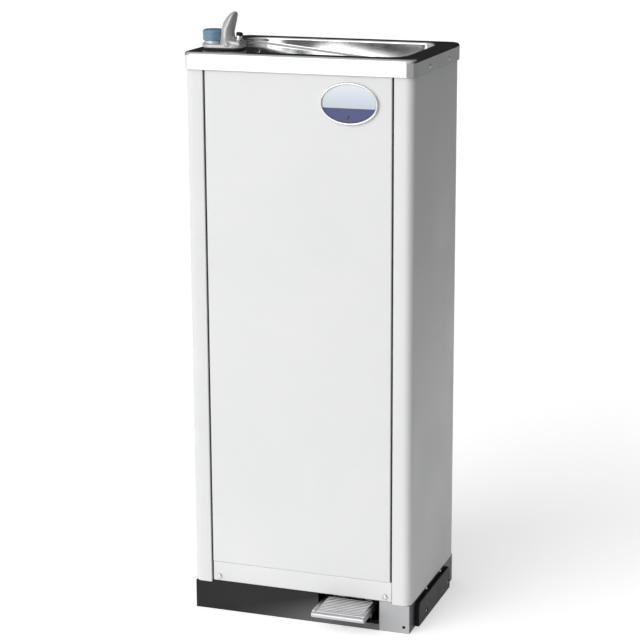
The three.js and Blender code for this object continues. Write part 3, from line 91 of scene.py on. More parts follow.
class Tree:
    """Adds nodes to one shader or geometry tree and wires them."""

    def __init__(self, tree: bpy.types.NodeTree) -> None:
        """Wraps an existing tree.

        Args:
            tree: The tree that receives the nodes.
        """
        self.tree = tree

    def add(self, kind: str, values: dict | None = None, **settings) -> bpy.types.Node:
        """Adds one node.

        Args:
            kind: The node's type name.
            values: Numbers, colours or output sockets for its inputs, by name or place.
            settings: Attributes of the node itself.

        Returns:
            The new node.
        """
        node = self.tree.nodes.new(kind)
        for name, setting in settings.items():
            setattr(node, name, setting)
        for key, value in (values or {}).items():
            socket = node.inputs[key]
            if isinstance(value, bpy.types.NodeSocket):
                self.tree.links.new(value, socket)
            else:
                socket.default_value = value
        return node

    def math(self, operation: str, *values, clamp: bool = False) -> bpy.types.NodeSocket:
        """Adds a Math node and returns its result.

        Args:
            operation: The sum to do.
            values: Numbers or sockets.
            clamp: Whether to keep the result between 0 and 1.

        Returns:
            The result's socket.
        """
        kind = "ShaderNodeMath"
        return self.add(kind, dict(enumerate(values)), operation=operation, use_clamp=clamp).outputs[0]

    def mix(self, factor, first, second) -> bpy.types.NodeSocket:
        """Mixes two colours and returns the result's socket."""
        node = self.add("ShaderNodeMix", data_type="RGBA")
        for place, value in ((0, factor), (6, first), (7, second)):
            if isinstance(value, bpy.types.NodeSocket):
                self.tree.links.new(value, node.inputs[place])
            elif place == 0:
                node.inputs[place].default_value = value
            else:
                node.inputs[place].default_value = (*value, 1.0)
        return node.outputs[2]

    def place(self) -> bpy.types.NodeSocket:
        """Returns the surface point in the object's own metres."""
        return self.add("ShaderNodeTexCoord").outputs["Object"]

    def part(self, vector: bpy.types.NodeSocket, index: int) -> bpy.types.NodeSocket:
        """Returns a vector's X, Y or Z."""
        return self.add("ShaderNodeSeparateXYZ", {0: vector}).outputs[index]

    def noise(self, scale, detail: float, **values) -> bpy.types.NodeSocket:
        """Adds a noise, over the object's own metres unless told otherwise, and returns its value."""
        if "Vector" not in values:
            values["Vector"] = self.place()
        return self.add("ShaderNodeTexNoise", {"Scale": scale, "Detail": detail, **values}).outputs[0]

    def spread(self, value, low: float, high: float) -> bpy.types.NodeSocket:
        """Maps a value from 0..1 to low..high and returns the result's socket."""
        return self.add("ShaderNodeMapRange", {0: value, 3: low, 4: high}).outputs[0]

    def step(self, value, low: float, high: float) -> bpy.types.NodeSocket:
        """Maps a value from low..high to 0..1 and returns the result's socket."""
        return self.add("ShaderNodeMapRange", {0: value, 1: low, 2: high}).outputs[0]


def shader_group(name: str, inputs: dict[str, float], outputs: Sequence[str],
                 build: Callable[[Tree, dict], dict]) -> bpy.types.NodeTree:
    """Builds a shader group with named inputs, once.

    Args:
        name: The group's name.
        inputs: Each input's name and starting value.
        outputs: The outputs' names.
        build: Takes the tree and the input sockets, and returns the output sockets by name.

    Returns:
        The group, new or already built.
    """
    made = bpy.data.node_groups.get(name)
    if made is not None:
        return made
    group = bpy.data.node_groups.new(name, "ShaderNodeTree")
    for label, value in inputs.items():
        socket = group.interface.new_socket(label, in_out="INPUT", socket_type="NodeSocketFloat")
        socket.default_value = value
    for label in outputs:
        group.interface.new_socket(label, in_out="OUTPUT", socket_type="NodeSocketFloat")
    tree = Tree(group)
    source = tree.add("NodeGroupInput")
    results = build(tree, {label: source.outputs[label] for label in inputs})
    tree.add("NodeGroupOutput", results)
    return group


def grain_group() -> bpy.types.NodeTree:
    """Returns the group for a fine even texture, such as orange peel or cast skin."""

    def build(tree: Tree, given: dict) -> dict:
        """Layers two noises, the second three times finer."""
        coarse = tree.noise(given["Scale"], 2.0)
        fine = tree.noise(tree.math("MULTIPLY", given["Scale"], 3.1), 3.0)
        return {"Height": tree.math("MULTIPLY_ADD", fine, 0.4, coarse)}

    return shader_group("fine grain", {"Scale": 900.0}, ["Height"], build)


def smudge_group() -> bpy.types.NodeTree:
    """Returns the group for the broad patches that wiping leaves."""

    def build(tree: Tree, given: dict) -> dict:
        """Turns a broad noise into soft patches."""
        noise = tree.noise(given["Scale"], 4.0, Roughness=0.6, Distortion=0.8)
        return {"Patches": tree.step(noise, 0.3, 0.72)}

    return shader_group("smudge", {"Scale": 14.0}, ["Patches"], build)


def wear_group() -> bpy.types.NodeTree:
    """Returns the group for the rubbed line along a piece's sharp edges."""

    def build(tree: Tree, given: dict) -> dict:
        """Compares the true normal with a rounded one, and breaks the line up."""
        rounded = tree.add("ShaderNodeBevel", {"Radius": given["Radius"]}, samples=4)
        true_normal = tree.add("ShaderNodeNewGeometry").outputs["Normal"]
        match = tree.add("ShaderNodeVectorMath", {0: rounded.outputs[0], 1: true_normal},
                         operation="DOT_PRODUCT")
        edge = tree.step(tree.math("SUBTRACT", 1.0, match.outputs["Value"]), 0.01, 0.2)
        broken = tree.step(tree.noise(160.0, 5.0), 0.42, 0.62)
        worn = tree.math("MULTIPLY", edge, broken)
        return {"Worn": tree.math("MULTIPLY", worn, given["Amount"], clamp=True)}

    return shader_group("edge wear", {"Radius": 0.0008, "Amount": 0.6}, ["Worn"], build)


def dust_group() -> bpy.types.NodeTree:
    """Returns the group for the dust that lies on upward faces and near the floor."""

    def build(tree: Tree, given: dict) -> dict:
        """Adds what faces up to what is low, and speckles it."""
        up = tree.part(tree.add("ShaderNodeNewGeometry").outputs["Normal"], 2)
        low = tree.part(tree.place(), 2)
        settled = tree.step(up, 0.5, 1.0)
        splashed = tree.math("SUBTRACT", 1.0, tree.step(low, 0.0, given["Reach"]))
        speckle = tree.step(tree.noise(60.0, 6.0), 0.4, 0.75)
        either = tree.math("MULTIPLY_ADD", splashed, 0.7, settled, clamp=True)
        mask = tree.math("MULTIPLY", either, speckle)
        return {"Dust": tree.math("MULTIPLY", mask, given["Amount"], clamp=True)}

    return shader_group("dust", {"Amount": 0.2, "Reach": 0.05}, ["Dust"], build)


def brush_group() -> bpy.types.NodeTree:
    """Returns the group for the drawn lines of brushed metal."""

    def build(tree: Tree, given: dict) -> dict:
        """Stretches a noise with its own scale along each axis."""
        across = {0: given["Across X"], 1: given["Across Y"], 2: given["Across Z"]}
        stretch = tree.add("ShaderNodeCombineXYZ", across).outputs[0]
        pulled = tree.add("ShaderNodeVectorMath", {0: tree.place(), 1: stretch}, operation="MULTIPLY")
        return {"Lines": tree.noise(1.0, 5.0, Vector=pulled.outputs[0], Roughness=0.7)}

    start = {"Across X": 20.0, "Across Y": 1500.0, "Across Z": 1500.0}
    return shader_group("brushed lines", start, ["Lines"], build)


# Finishes

DUST_COLOR = (0.42, 0.41, 0.39)
GLOSS_PATCHES = 2.3  # how much finer the patches in the gloss are than those in the colour


@dataclass(frozen=True)
class Finish:
    """One surface finish, made a material the first time that it is used."""

    name: str
    base: Color
    tint: Color
    roughness: float
    roughness_spread: float = 0.06
    metallic: float = 0.0
    grain_scale: float = 900.0
    grain_depth: float = 0.00002
    smudge_scale: float = 14.0
    brush: Color | None = None
    brush_depth: float = 0.000006
    wear: float = 0.0
    wear_color: Color = (0.6, 0.6, 0.6)
    dust: float = 0.0
    dust_reach: float = 0.05
    coat: float = 0.0
    coat_roughness: float = 0.1
    specular: float = 0.5

    def group(self, tree: Tree, group: bpy.types.NodeTree, **values: float) -> bpy.types.Node:
        """Places a shared group in this material with its own values."""
        node = tree.add("ShaderNodeGroup", node_tree=group)
        for label, value in values.items():
            node.inputs[label.replace("_", " ")].default_value = value
        return node

    def patches(self, tree: Tree, finer: float = 1.0) -> bpy.types.NodeSocket:
        """Returns the surface's broad patches, at their own scale or finer."""
        return self.group(tree, smudge_group(), Scale=self.smudge_scale * finer).outputs[0]

    def lines(self, tree: Tree) -> bpy.types.NodeSocket:
        """Returns the drawn lines of a brushed surface."""
        across = dict(zip(("Across_X", "Across_Y", "Across_Z"), self.brush))
        return self.group(tree, brush_group(), **across).outputs[0]

    def color(self, tree: Tree) -> bpy.types.NodeSocket:
        """Returns the clean surface's colour, which drifts between base and tint."""
        return tree.mix(self.patches(tree), self.base, self.tint)

    def height(self, tree: Tree) -> bpy.types.NodeSocket:
        """Returns the surface's height in metres."""
        grain = self.group(tree, grain_group(), Scale=self.grain_scale).outputs[0]
        height = tree.math("MULTIPLY", grain, self.grain_depth)
        if self.brush is None:
            return height
        return tree.math("MULTIPLY_ADD", self.lines(tree), self.brush_depth, height)

    def build(self) -> bpy.types.Material:
        """Makes the material, or returns it if it is already made."""
        made = bpy.data.materials.get(self.name)
        if made is not None:
            return made
        material = bpy.data.materials.new(self.name)
        material.use_nodes = True
        tree = Tree(material.node_tree)
        shader = material.node_tree.nodes["Principled BSDF"]
        color = self.color(tree)
        either_way = self.roughness_spread
        low = max(self.roughness - either_way, 0.02)
        roughness = tree.spread(self.patches(tree, GLOSS_PATCHES), low, self.roughness + either_way)
        if self.brush is not None:
            streaks = tree.spread(self.lines(tree), -either_way, either_way)
            roughness = tree.math("ADD", roughness, streaks)
        if self.wear > 0:
            worn = self.group(tree, wear_group(), Amount=self.wear).outputs[0]
            color = tree.mix(worn, color, self.wear_color)
        if self.dust > 0:
            dust = self.group(tree, dust_group(), Amount=self.dust, Reach=self.dust_reach).outputs[0]
            color = tree.mix(dust, color, DUST_COLOR)
            roughness = tree.math("MULTIPLY_ADD", dust, 0.4, roughness)
        bump = tree.add("ShaderNodeBump", {"Height": self.height(tree), "Distance": 1.0})
        links = tree.tree.links
        links.new(color, shader.inputs["Base Color"])
        links.new(roughness, shader.inputs["Roughness"])
        links.new(bump.outputs[0], shader.inputs["Normal"])
        for label, value in (("Metallic", self.metallic), ("Coat Weight", self.coat),
                             ("Coat Roughness", self.coat_roughness),
                             ("Specular IOR Level", self.specular)):
            shader.inputs[label].default_value = value
        return material


@dataclass(frozen=True)
class Galvanised(Finish):
    """Zinc-coated sheet, whose crystals show as flat grey patches."""

    crystal_scale: float = 70.0

    def color(self, tree: Tree) -> bpy.types.NodeSocket:
        """Returns the zinc's colour, one shade for each crystal."""
        values = {"Vector": tree.place(), "Scale": self.crystal_scale, "Randomness": 1.0}
        cells = tree.add("ShaderNodeTexVoronoi", values)
        shade = tree.add("ShaderNodeSeparateColor", {0: cells.outputs["Color"]}).outputs[0]
        return tree.mix(shade, self.base, self.tint)


@dataclass(frozen=True)
class TwoTone(Finish):
    """Enamel in two colours that meet at one height, the upper one paler towards the top."""

    upper: Color = (0.5, 0.55, 0.62)
    upper_light: Color = (0.7, 0.74, 0.8)
    split: float = 0.726
    blur: float = 0.0002
    top: float = 0.76

    def color(self, tree: Tree) -> bpy.types.NodeSocket:
        """Returns base below the split and the upper colours above it."""
        height = tree.part(tree.place(), 2)
        above = tree.step(height, self.split - self.blur, self.split + self.blur)
        fade = tree.step(height, self.split, self.top)
        sky = tree.mix(fade, self.upper, self.upper_light)
        return tree.mix(above, super().color(tree), sky)


@dataclass(frozen=True)
class BaseSheet(Finish):
    """Black paint with a painted reflection of the pale floor, grey low down and higher towards the pedal,
    beside a bare zinc end.
    """

    # Grey of the painted reflection of the floor in the plate.
    floor_reflection: Color = (0.12, 0.12, 0.123)
    bare: Color = (0.40, 0.402, 0.41)
    bare_from: float = 0.1155
    reflection_from: float = -0.105
    reflection_to: float = 0.04
    reflection_height: float = 0.034

    def color(self, tree: Tree) -> bpy.types.NodeSocket:
        """Returns black on the left, a grey painted floor reflection low down by the pedal, and zinc at the
        right.
        """
        place = tree.place()
        across, height = tree.part(place, 0), tree.part(place, 2)
        patches = self.patches(tree)
        black = tree.mix(patches, self.base, self.tint)
        # Painted reflection: grey below a line that rises towards the pedal stands in for the floor mirrored
        # in the plate.
        near = tree.step(across, self.reflection_from, self.reflection_to)
        slant = tree.math("MULTIPLY", near, self.reflection_height)
        low = tree.step(tree.math("SUBTRACT", slant, height), -0.008, 0.02)
        reflection_share = tree.math("MULTIPLY", tree.math("MULTIPLY", near, low), 0.95)
        black_with_reflection = tree.mix(reflection_share, black, self.floor_reflection)
        zinc = tree.mix(patches, self.bare, tuple(part * 1.14 for part in self.bare))
        return tree.mix(tree.step(across, self.bare_from, self.bare_from + 0.0006), black_with_reflection, zinc)


PAINT = Finish("powder coat", (0.70, 0.705, 0.71), (0.735, 0.735, 0.735), 0.42, grain_scale=620.0,
               grain_depth=0.00003, smudge_scale=5.0, dust=0.05, dust_reach=0.16,
               coat=0.08, coat_roughness=0.3)
STAINLESS = Finish("polished stainless", (0.76, 0.765, 0.77), (0.83, 0.83, 0.835), 0.12, metallic=1.0,
                   roughness_spread=0.035, grain_depth=0.0000012, brush=(12.0, 1400.0, 1400.0),
                   brush_depth=0.0000012, smudge_scale=9.0)
SATIN_STEEL = Finish("satin steel", (0.5, 0.505, 0.51), (0.58, 0.58, 0.585), 0.28, metallic=1.0,
                     grain_depth=0.000002, brush=(16.0, 1200.0, 1200.0), smudge_scale=12.0)
BLACK_PAINT = Finish("black paint", (0.009, 0.009, 0.01), (0.015, 0.015, 0.016), 0.4, grain_scale=700.0,
                     grain_depth=0.00003, dust=0.05, wear=0.3, wear_color=(0.06, 0.06, 0.06), specular=0.35)
BLACK_PLASTIC = Finish("black plastic", (0.008, 0.008, 0.009), (0.014, 0.014, 0.015), 0.48,
                       grain_scale=1500.0, grain_depth=0.00005, dust=0.03, wear=0.3,
                       wear_color=(0.05, 0.05, 0.05), specular=0.15)
RUBBER = Finish("black rubber", (0.011, 0.011, 0.011), (0.02, 0.02, 0.02), 0.78, grain_scale=1100.0,
                grain_depth=0.00005, dust=0.1)
DIE_CAST = Finish("die-cast grey", (0.47, 0.473, 0.48), (0.55, 0.552, 0.558), 0.36, metallic=0.45,
                  grain_scale=1500.0, grain_depth=0.00006, smudge_scale=60.0, wear=0.25,
                  wear_color=(0.55, 0.55, 0.56), roughness_spread=0.05)
CHROME = Finish("bright chrome", (0.74, 0.745, 0.75), (0.8, 0.8, 0.8), 0.07, metallic=1.0,
                roughness_spread=0.03, grain_depth=0.0000008, smudge_scale=40.0)
ALUMINIUM = Finish("extruded aluminium", (0.50, 0.50, 0.51), (0.60, 0.60, 0.61), 0.34, metallic=1.0,
                   grain_depth=0.000004, brush=(30.0, 1600.0, 1600.0), brush_depth=0.000003,
                   smudge_scale=40.0, wear=0.5, wear_color=(0.78, 0.78, 0.79), dust=0.1, dust_reach=0.01)
BLUE = Finish("blue plastic", (0.115, 0.205, 0.295), (0.14, 0.245, 0.345), 0.3, grain_scale=1300.0,
              grain_depth=0.00002, smudge_scale=60.0, wear=0.25, wear_color=(0.25, 0.4, 0.55), coat=0.1)
WHITE_NYLON = Finish("white nylon", (0.66, 0.65, 0.61), (0.74, 0.73, 0.7), 0.45, grain_scale=800.0, dust=0.1)
BRASS = Finish("machined brass", (0.53, 0.38, 0.14), (0.66, 0.5, 0.22), 0.3, metallic=1.0, smudge_scale=50.0,
               grain_depth=0.000006, wear=0.3, wear_color=(0.8, 0.68, 0.4))
COPPER = Finish("drawn copper", (0.42, 0.17, 0.085), (0.62, 0.27, 0.14), 0.32, metallic=1.0,
                smudge_scale=30.0, grain_depth=0.000005)
WIRE = Finish("spring wire", (0.38, 0.38, 0.39), (0.5, 0.5, 0.5), 0.3, metallic=1.0, smudge_scale=90.0,
              grain_depth=0.000004)
LENS = Finish("lamp lens", (0.02, 0.06, 0.035), (0.03, 0.09, 0.05), 0.12, grain_depth=0.000001, coat=0.6)
FINS = Finish("aluminium fins", (0.42, 0.42, 0.43), (0.6, 0.6, 0.6), 0.4, metallic=1.0,
              grain_depth=0.00001, dust=0.2, brush=(400.0, 400.0, 20.0))
ZINC = Galvanised("zinc plate", (0.30, 0.305, 0.31), (0.36, 0.365, 0.37), 0.3, metallic=1.0,
                  grain_depth=0.000004, smudge_scale=20.0, dust=0.1)
PLINTH = BaseSheet("base sheet", (0.006, 0.006, 0.007), (0.012, 0.012, 0.013), 0.36, grain_depth=0.00001,
                   smudge_scale=9.0, wear=0.3, wear_color=(0.1, 0.1, 0.1), specular=0.3)
ENAMEL = TwoTone("badge enamel", (0.012, 0.02, 0.12), (0.018, 0.03, 0.16), 0.16, grain_depth=0.000001,
                 coat=0.8, coat_roughness=0.05, smudge_scale=30.0)


# Shapes


def arc(x: float, y: float, radius: float, start: float, end: float, steps: int = 12) -> list[Point]:
    """Returns points round an arc, both ends included."""
    angles = (start + (end - start) * i / steps for i in range(steps + 1))
    return [(x + radius * math.cos(a), y + radius * math.sin(a)) for a in angles]


def quarter_bend(steps: int) -> list[Point]:
    """Returns how far in and up each step of a quarter bend goes, for a radius of 1."""
    angles = (i / steps * QUARTER for i in range(steps + 1))
    return [(1 - math.cos(angle), math.sin(angle)) for angle in angles]


def between(low: Vector, high: Vector, y: float) -> Vector:
    """Returns the point midway between two corners in X and Z, at a place in Y."""
    return Vector(((low.x + high.x) / 2, y, (low.z + high.z) / 2))


def rounded_path(corners: Sequence[Point], radii: Sequence[float], closed: bool = False,
                 steps: int = 8) -> list[Point]:
    """Rounds the corners of a path.

    Args:
        corners: The sharp corners, in order.
        radii: Each corner's radius, where 0 keeps it sharp.
        closed: Whether the last corner joins the first.
        steps: The straight pieces in each round corner.

    Returns:
        The rounded path's points.
    """
    points: list[Point] = []
    count = len(corners)
    for i, radius in enumerate(radii):
        here = Vector(corners[i])
        if radius <= 0 or (not closed and i in (0, count - 1)):
            points.append(tuple(here))
            continue
        back = (Vector(corners[i - 1]) - here).normalized()
        on = (Vector(corners[(i + 1) % count]) - here).normalized()
        half = back.angle(on) / 2
        reach = radius / math.tan(half)
        centre = here + (back + on).normalized() * (radius / math.sin(half))
        first = here + back * reach - centre
        turn = first.angle_signed(here + on * reach - centre)
        for step in range(steps + 1):
            spun = Matrix.Rotation(-turn * step / steps, 2) @ first
            points.append(tuple(centre + spun))
    return points


def offset_path(corners: Sequence[Point], distance: float) -> list[Point]:
    """Moves an open path sideways, to its left, keeping its corners square to it."""
    points = [Vector(corner) for corner in corners]
    sides = []
    for first, second in zip(points, points[1:]):
        along = (second - first).normalized()
        sides.append(Vector((-along.y, along.x)))
    moved = []
    for i, point in enumerate(points):
        before = sides[max(i - 1, 0)]
        after = sides[min(i, len(sides) - 1)]
        moved.append(tuple(point + (before + after) * (distance / (1 + before.dot(after)))))
    return moved


def folded_sheet(corners: Sequence[Point], radii: Sequence[float], thickness: float) -> list[Point]:
    """Returns the closed outline of a sheet folded along a path, thickened to its left."""
    inner_radii = [max(radius - thickness, 0.05 * MM) if radius > 0 else 0 for radius in radii]
    outer = rounded_path(corners, radii)
    inner = rounded_path(offset_path(corners, thickness), inner_radii)
    return outer + inner[::-1]


def round_rectangle(half_x: float, half_y: float, radius: float, steps: int = 12) -> list[Point]:
    """Returns the outline of a rectangle with round corners, centred on the origin."""
    x, y = half_x - radius, half_y - radius
    return [
        *arc(x, -y, radius, -QUARTER, 0, steps),
        *arc(x, y, radius, 0, QUARTER, steps),
        *arc(-x, y, radius, QUARTER, math.pi, steps),
        *arc(-x, -y, radius, math.pi, 3 * QUARTER, steps),
    ]


def ring_at(points: Sequence[Point], height: float | Callable[[float], float]) -> list[Vector]:
    """Lifts a plan outline to a height, or to one that varies along X."""
    lift = height if callable(height) else lambda _x: height
    return [Vector((x, y, lift(x))) for x, y in points]


def loft(rings: Sequence[Sequence[Vector]], caps: bool = True, around: bool = False) -> bmesh.types.BMesh:
    """Skins closed rings with as many points each.

    Args:
        rings: The rings, in order.
        caps: Whether to close the first and last ring.
        around: Whether the last ring joins the first, as in a hoop.

    Returns:
        The mesh.
    """
    mesh = bmesh.new()
    layers = [[mesh.verts.new(point) for point in ring] for ring in rings]
    pairs = list(zip(layers, layers[1:]))
    if around:
        pairs.append((layers[-1], layers[0]))
    for low, high in pairs:
        for i in range(len(low)):
            j = (i + 1) % len(low)
            mesh.faces.new((low[i], low[j], high[j], high[i]))
    if caps and not around:
        mesh.faces.new(layers[0][::-1])
        mesh.faces.new(layers[-1])
    return mesh


def prism(points: Sequence[Point], low: float, high: float, axis: Axis = Axis.UP) -> bmesh.types.BMesh:
    """Extrudes an outline.

    Args:
        points: The outline. It is in X and Y when up, in X and Z when front, and in Y and Z when right.
        low: Where it starts along the extrusion's own axis.
        high: Where it ends.
        axis: The direction of the extrusion: up is +Z, front is Y and right is X.

    Returns:
        The mesh.
    """
    places = {
        Axis.UP: lambda a, b, c: (a, b, c),
        Axis.FRONT: lambda a, b, c: (a, c, b),
        Axis.RIGHT: lambda a, b, c: (c, a, b),
    }
    place = places[axis]
    return loft([[Vector(place(a, b, level)) for a, b in points] for level in (low, high)])


def turned(profile: Sequence[Point], axis: Axis = Axis.UP, centre: Sequence[float] = (0, 0, 0),
           segments: int = 64) -> bmesh.types.BMesh:
    """Turns a profile of (radius, height) points about an axis.

    Args:
        profile: The points, which start and end on the axis or close on themselves.
        axis: The direction of increasing height.
        centre: Where height 0 lies.
        segments: The facets round the piece.

    Returns:
        The mesh.
    """
    mesh = bmesh.new()
    matrix = Matrix.Translation(Vector(centre)) @ axis.matrix()
    rings = []
    for radius, height in profile:
        if radius <= 0:
            rings.append([mesh.verts.new(matrix @ Vector((0, 0, height)))])
            continue
        angles = [2 * math.pi * i / segments for i in range(segments)]
        rings.append([mesh.verts.new(matrix @ Vector((radius * math.cos(a), radius * math.sin(a), height)))
                      for a in angles])
    loops = list(zip(rings, rings[1:]))
    if profile[0][0] > 0:
        loops.append((rings[-1], rings[0]))
    for low, high in loops:
        for i in range(segments):
            j = (i + 1) % segments
            corners = [low[i % len(low)], low[j % len(low)], high[j % len(high)], high[i % len(high)]]
            unique = list(dict.fromkeys(corners))
            if len(unique) > 2:
                mesh.faces.new(unique)
    return mesh


def slab(low: Sequence[float], high: Sequence[float]) -> bmesh.types.BMesh:
    """Returns a block between two corners."""
    mesh = bmesh.new()
    bmesh.ops.create_cube(mesh, size=1.0)
    for vertex in mesh.verts:
        for i in range(3):
            vertex.co[i] = low[i] if vertex.co[i] < 0 else high[i]
    return mesh


def joined(*meshes: bmesh.types.BMesh) -> bmesh.types.BMesh:
    """Puts several meshes in the first one, as separate shells."""
    first = meshes[0]
    for other in meshes[1:]:
        data = bpy.data.meshes.new("part")
        other.to_mesh(data)
        first.from_mesh(data)
        bpy.data.meshes.remove(data)
        other.free()
    return first


def place_object(name: str, mesh: bmesh.types.BMesh, smooth: float = 35.0) -> bpy.types.Object:
    """Makes an object at the origin from a mesh, with its faces outwards.

    Args:
        name: The object's name.
        mesh: The mesh, which is freed.
        smooth: The angle in degrees under which faces shade as one surface.

    Returns:
        The object.
    """
    bmesh.ops.remove_doubles(mesh, verts=mesh.verts, dist=1e-6)
    bmesh.ops.recalc_face_normals(mesh, faces=mesh.faces)
    data = bpy.data.meshes.new(name)
    mesh.to_mesh(data)
    mesh.free()
    data.shade_smooth()
    data.set_sharp_from_angle(angle=math.radians(smooth))
    made = bpy.data.objects.new(name, data)
    bpy.context.scene.collection.objects.link(made)
    return made


def bake_modifiers(made: bpy.types.Object, smooth: float = 35.0) -> None:
    """Makes the object's evaluated shape its plain mesh, and removes its modifiers."""
    bpy.context.view_layer.update()
    evaluated = made.evaluated_get(bpy.context.evaluated_depsgraph_get())
    data = bpy.data.meshes.new_from_object(evaluated)
    made.modifiers.clear()
    old = made.data
    made.data = data
    bpy.data.meshes.remove(old)
    data.name = made.name
    data.shade_smooth()
    data.set_sharp_from_angle(angle=math.radians(smooth))


def rod(radius: float, low: float, high: float) -> list[Point]:
    """Returns the profile of a plain round bar, for turning."""
    return [(0, low), (radius, low), (radius, high), (0, high)]


def weigh(made: bpy.types.Object) -> None:
    """Keeps flat faces flat where they meet rounded ones, with a live modifier."""
    modifier = made.modifiers.new("flat faces", "WEIGHTED_NORMAL")
    modifier.keep_sharp = True


def combine(made: bpy.types.Object, *steps: tuple[str, bmesh.types.BMesh]) -> None:
    """Joins shapes to an object or cuts them from it, in order.

    Args:
        made: The object that changes.
        steps: Pairs of the operation, UNION or DIFFERENCE, and the shape.
    """
    cutters = []
    for i, (operation, tool) in enumerate(steps):
        cutter = place_object(f"cutter_{i}", tool)
        modifier = made.modifiers.new(cutter.name, "BOOLEAN")
        modifier.operation = operation
        modifier.solver = "EXACT"
        modifier.object = cutter
        cutters.append(cutter)
    bake_modifiers(made)
    for cutter in cutters:
        bpy.data.objects.remove(cutter)


def soften(made: bpy.types.Object, width: float, segments: int = 3, angle: float = 35.0) -> None:
    """Rounds an object's sharp edges with a live bevel."""
    bevel = made.modifiers.new("soft edges", "BEVEL")
    bevel.width = width
    bevel.segments = segments
    bevel.limit_method = "ANGLE"
    bevel.angle_limit = math.radians(angle)
    bevel.harden_normals = True


def dress(made: bpy.types.Object, finish: Finish, slot: str, *nodes: str,
          body: Body = Body.CABINET) -> None:
    """Gives a piece its finish, body and slot, and says which nodes it stands for.

    Args:
        made: The piece, in place.
        finish: Its surface.
        slot: The record's material slot; not used.
        nodes: The frame's nodes that it replaces.
        body: The body that it moves with.
    """
    made.data.materials.clear()
    made.data.materials.append(finish.build())
    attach(made, body.value)
    if nodes:
        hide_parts(*nodes)
    LOG.info("made %s with %d faces", made.name, len(made.data.polygons))


# Repeated pieces, made by geometry nodes


class Pattern:
    """A geometry tree with named inputs, whose result becomes one plain mesh."""

    def __init__(self, name: str, sizes: dict[str, float]) -> None:
        """Starts a tree.

        Args:
            name: The tree's name.
            sizes: Each named input and its value.
        """
        self.group = bpy.data.node_groups.new(name, "GeometryNodeTree")
        self.group.interface.new_socket("Geometry", in_out="INPUT", socket_type="NodeSocketGeometry")
        self.sockets = {}
        for label in sizes:
            self.sockets[label] = self.group.interface.new_socket(
                label, in_out="INPUT", socket_type="NodeSocketFloat")
        self.material = self.group.interface.new_socket(
            "Finish", in_out="INPUT", socket_type="NodeSocketMaterial")
        self.group.interface.new_socket("Geometry", in_out="OUTPUT", socket_type="NodeSocketGeometry")
        self.sizes = sizes
        self.tree = Tree(self.group)
        self.source = self.tree.add("NodeGroupInput")

    def size(self, label: str) -> bpy.types.NodeSocket:
        """Returns a named input's socket."""
        return self.source.outputs[label]

    def vector(self, x=0.0, y=0.0, z=0.0) -> bpy.types.NodeSocket:
        """Returns a vector made from numbers or sockets."""
        return self.tree.add("ShaderNodeCombineXYZ", {0: x, 1: y, 2: z}).outputs[0]

    def moved(self, geometry: bpy.types.NodeSocket, **values) -> bpy.types.NodeSocket:
        """Moves, turns or scales a shape and returns it."""
        return self.tree.add("GeometryNodeTransform", {"Geometry": geometry, **values}).outputs[0]

    def cut(self, solid: bpy.types.NodeSocket, *tools: bpy.types.NodeSocket) -> bpy.types.NodeSocket:
        """Cuts other shapes from a solid and returns it."""
        node = self.tree.add("GeometryNodeMeshBoolean", operation="DIFFERENCE", solver="EXACT")
        self.tree.tree.links.new(solid, node.inputs["Mesh 1"])
        for tool in tools:
            self.tree.tree.links.new(tool, node.inputs["Mesh 2"])
        return node.outputs[0]

    def finish(self, piece: bpy.types.NodeSocket, **values) -> None:
        """Ends the tree: real copies of a piece at the points, with the finish set."""
        copies = self.tree.add("GeometryNodeInstanceOnPoints", {
            "Points": self.source.outputs["Geometry"], "Instance": piece, **values})
        real = self.tree.add("GeometryNodeRealizeInstances", {0: copies.outputs[0]})
        dressed = self.tree.add("GeometryNodeSetMaterial", {
            "Geometry": real.outputs[0], "Material": self.source.outputs["Finish"]})
        self.tree.add("NodeGroupOutput", {0: dressed.outputs[0]})

    def run(self, name: str, seeds: Sequence[Vector], finish: Finish) -> bpy.types.Object:
        """Runs the tree on a set of points.

        Args:
            name: The piece's name.
            seeds: The points that carry the copies.
            finish: The copies' surface.

        Returns:
            The piece, as a plain mesh at the origin.
        """
        data = bpy.data.meshes.new(name)
        data.from_pydata([tuple(seed) for seed in seeds], [], [])
        made = bpy.data.objects.new(name, data)
        bpy.context.scene.collection.objects.link(made)
        modifier = made.modifiers.new("pattern", "NODES")
        modifier.node_group = self.group
        for label, socket in self.sockets.items():
            modifier[socket.identifier] = float(self.sizes[label])
        modifier[self.material.identifier] = finish.build()
        bake_modifiers(made)
        return made


@dataclass
class ScrewHeads:
    """Low domed screw heads with a cross recess, on one face of the object."""

    radius: float = 4.0 * MM
    height: float = 2.4 * MM

    def pattern(self, turn: Vector) -> Pattern:
        """Returns the tree for heads that point the way turn takes +Z."""
        made = Pattern("screw heads", {
            "Radius": self.radius, "Height": self.height,
            "Turn X": turn.x, "Turn Y": turn.y, "Turn Z": turn.z})
        tree, radius, height = made.tree, made.size("Radius"), made.size("Height")
        dome = tree.add("GeometryNodeMeshUVSphere", {"Segments": 32, "Rings": 16, "Radius": 1.0})
        shaped = made.moved(dome.outputs[0], Scale=made.vector(radius, radius, height))
        long, thin = tree.math("MULTIPLY", radius, 1.15), tree.math("MULTIPLY", radius, 0.24)
        deep = tree.math("MULTIPLY", height, 1.3)
        bars = []
        for across, along in ((long, thin), (thin, long)):
            bar = tree.add("GeometryNodeMeshCube", {"Size": made.vector(across, along, deep)})
            bars.append(made.moved(bar.outputs[0], Translation=made.vector(z=height)))
        block = tree.add("GeometryNodeMeshCube", {"Size": (1.0, 1.0, 1.0)})
        below = made.moved(block.outputs[0], Translation=(0.0, 0.0, -0.5))
        head = made.cut(made.cut(shaped, *bars), below)
        made.finish(head, Rotation=made.vector(*(made.size(f"Turn {axis}") for axis in "XYZ")))
        return made


FRONT_TURN = Vector((QUARTER, 0.0, 0.0))
RIGHT_TURN = Vector((0.0, QUARTER, 0.0))
LEFT_TURN = Vector((0.0, -QUARTER, 0.0))


# Sub-assemblies


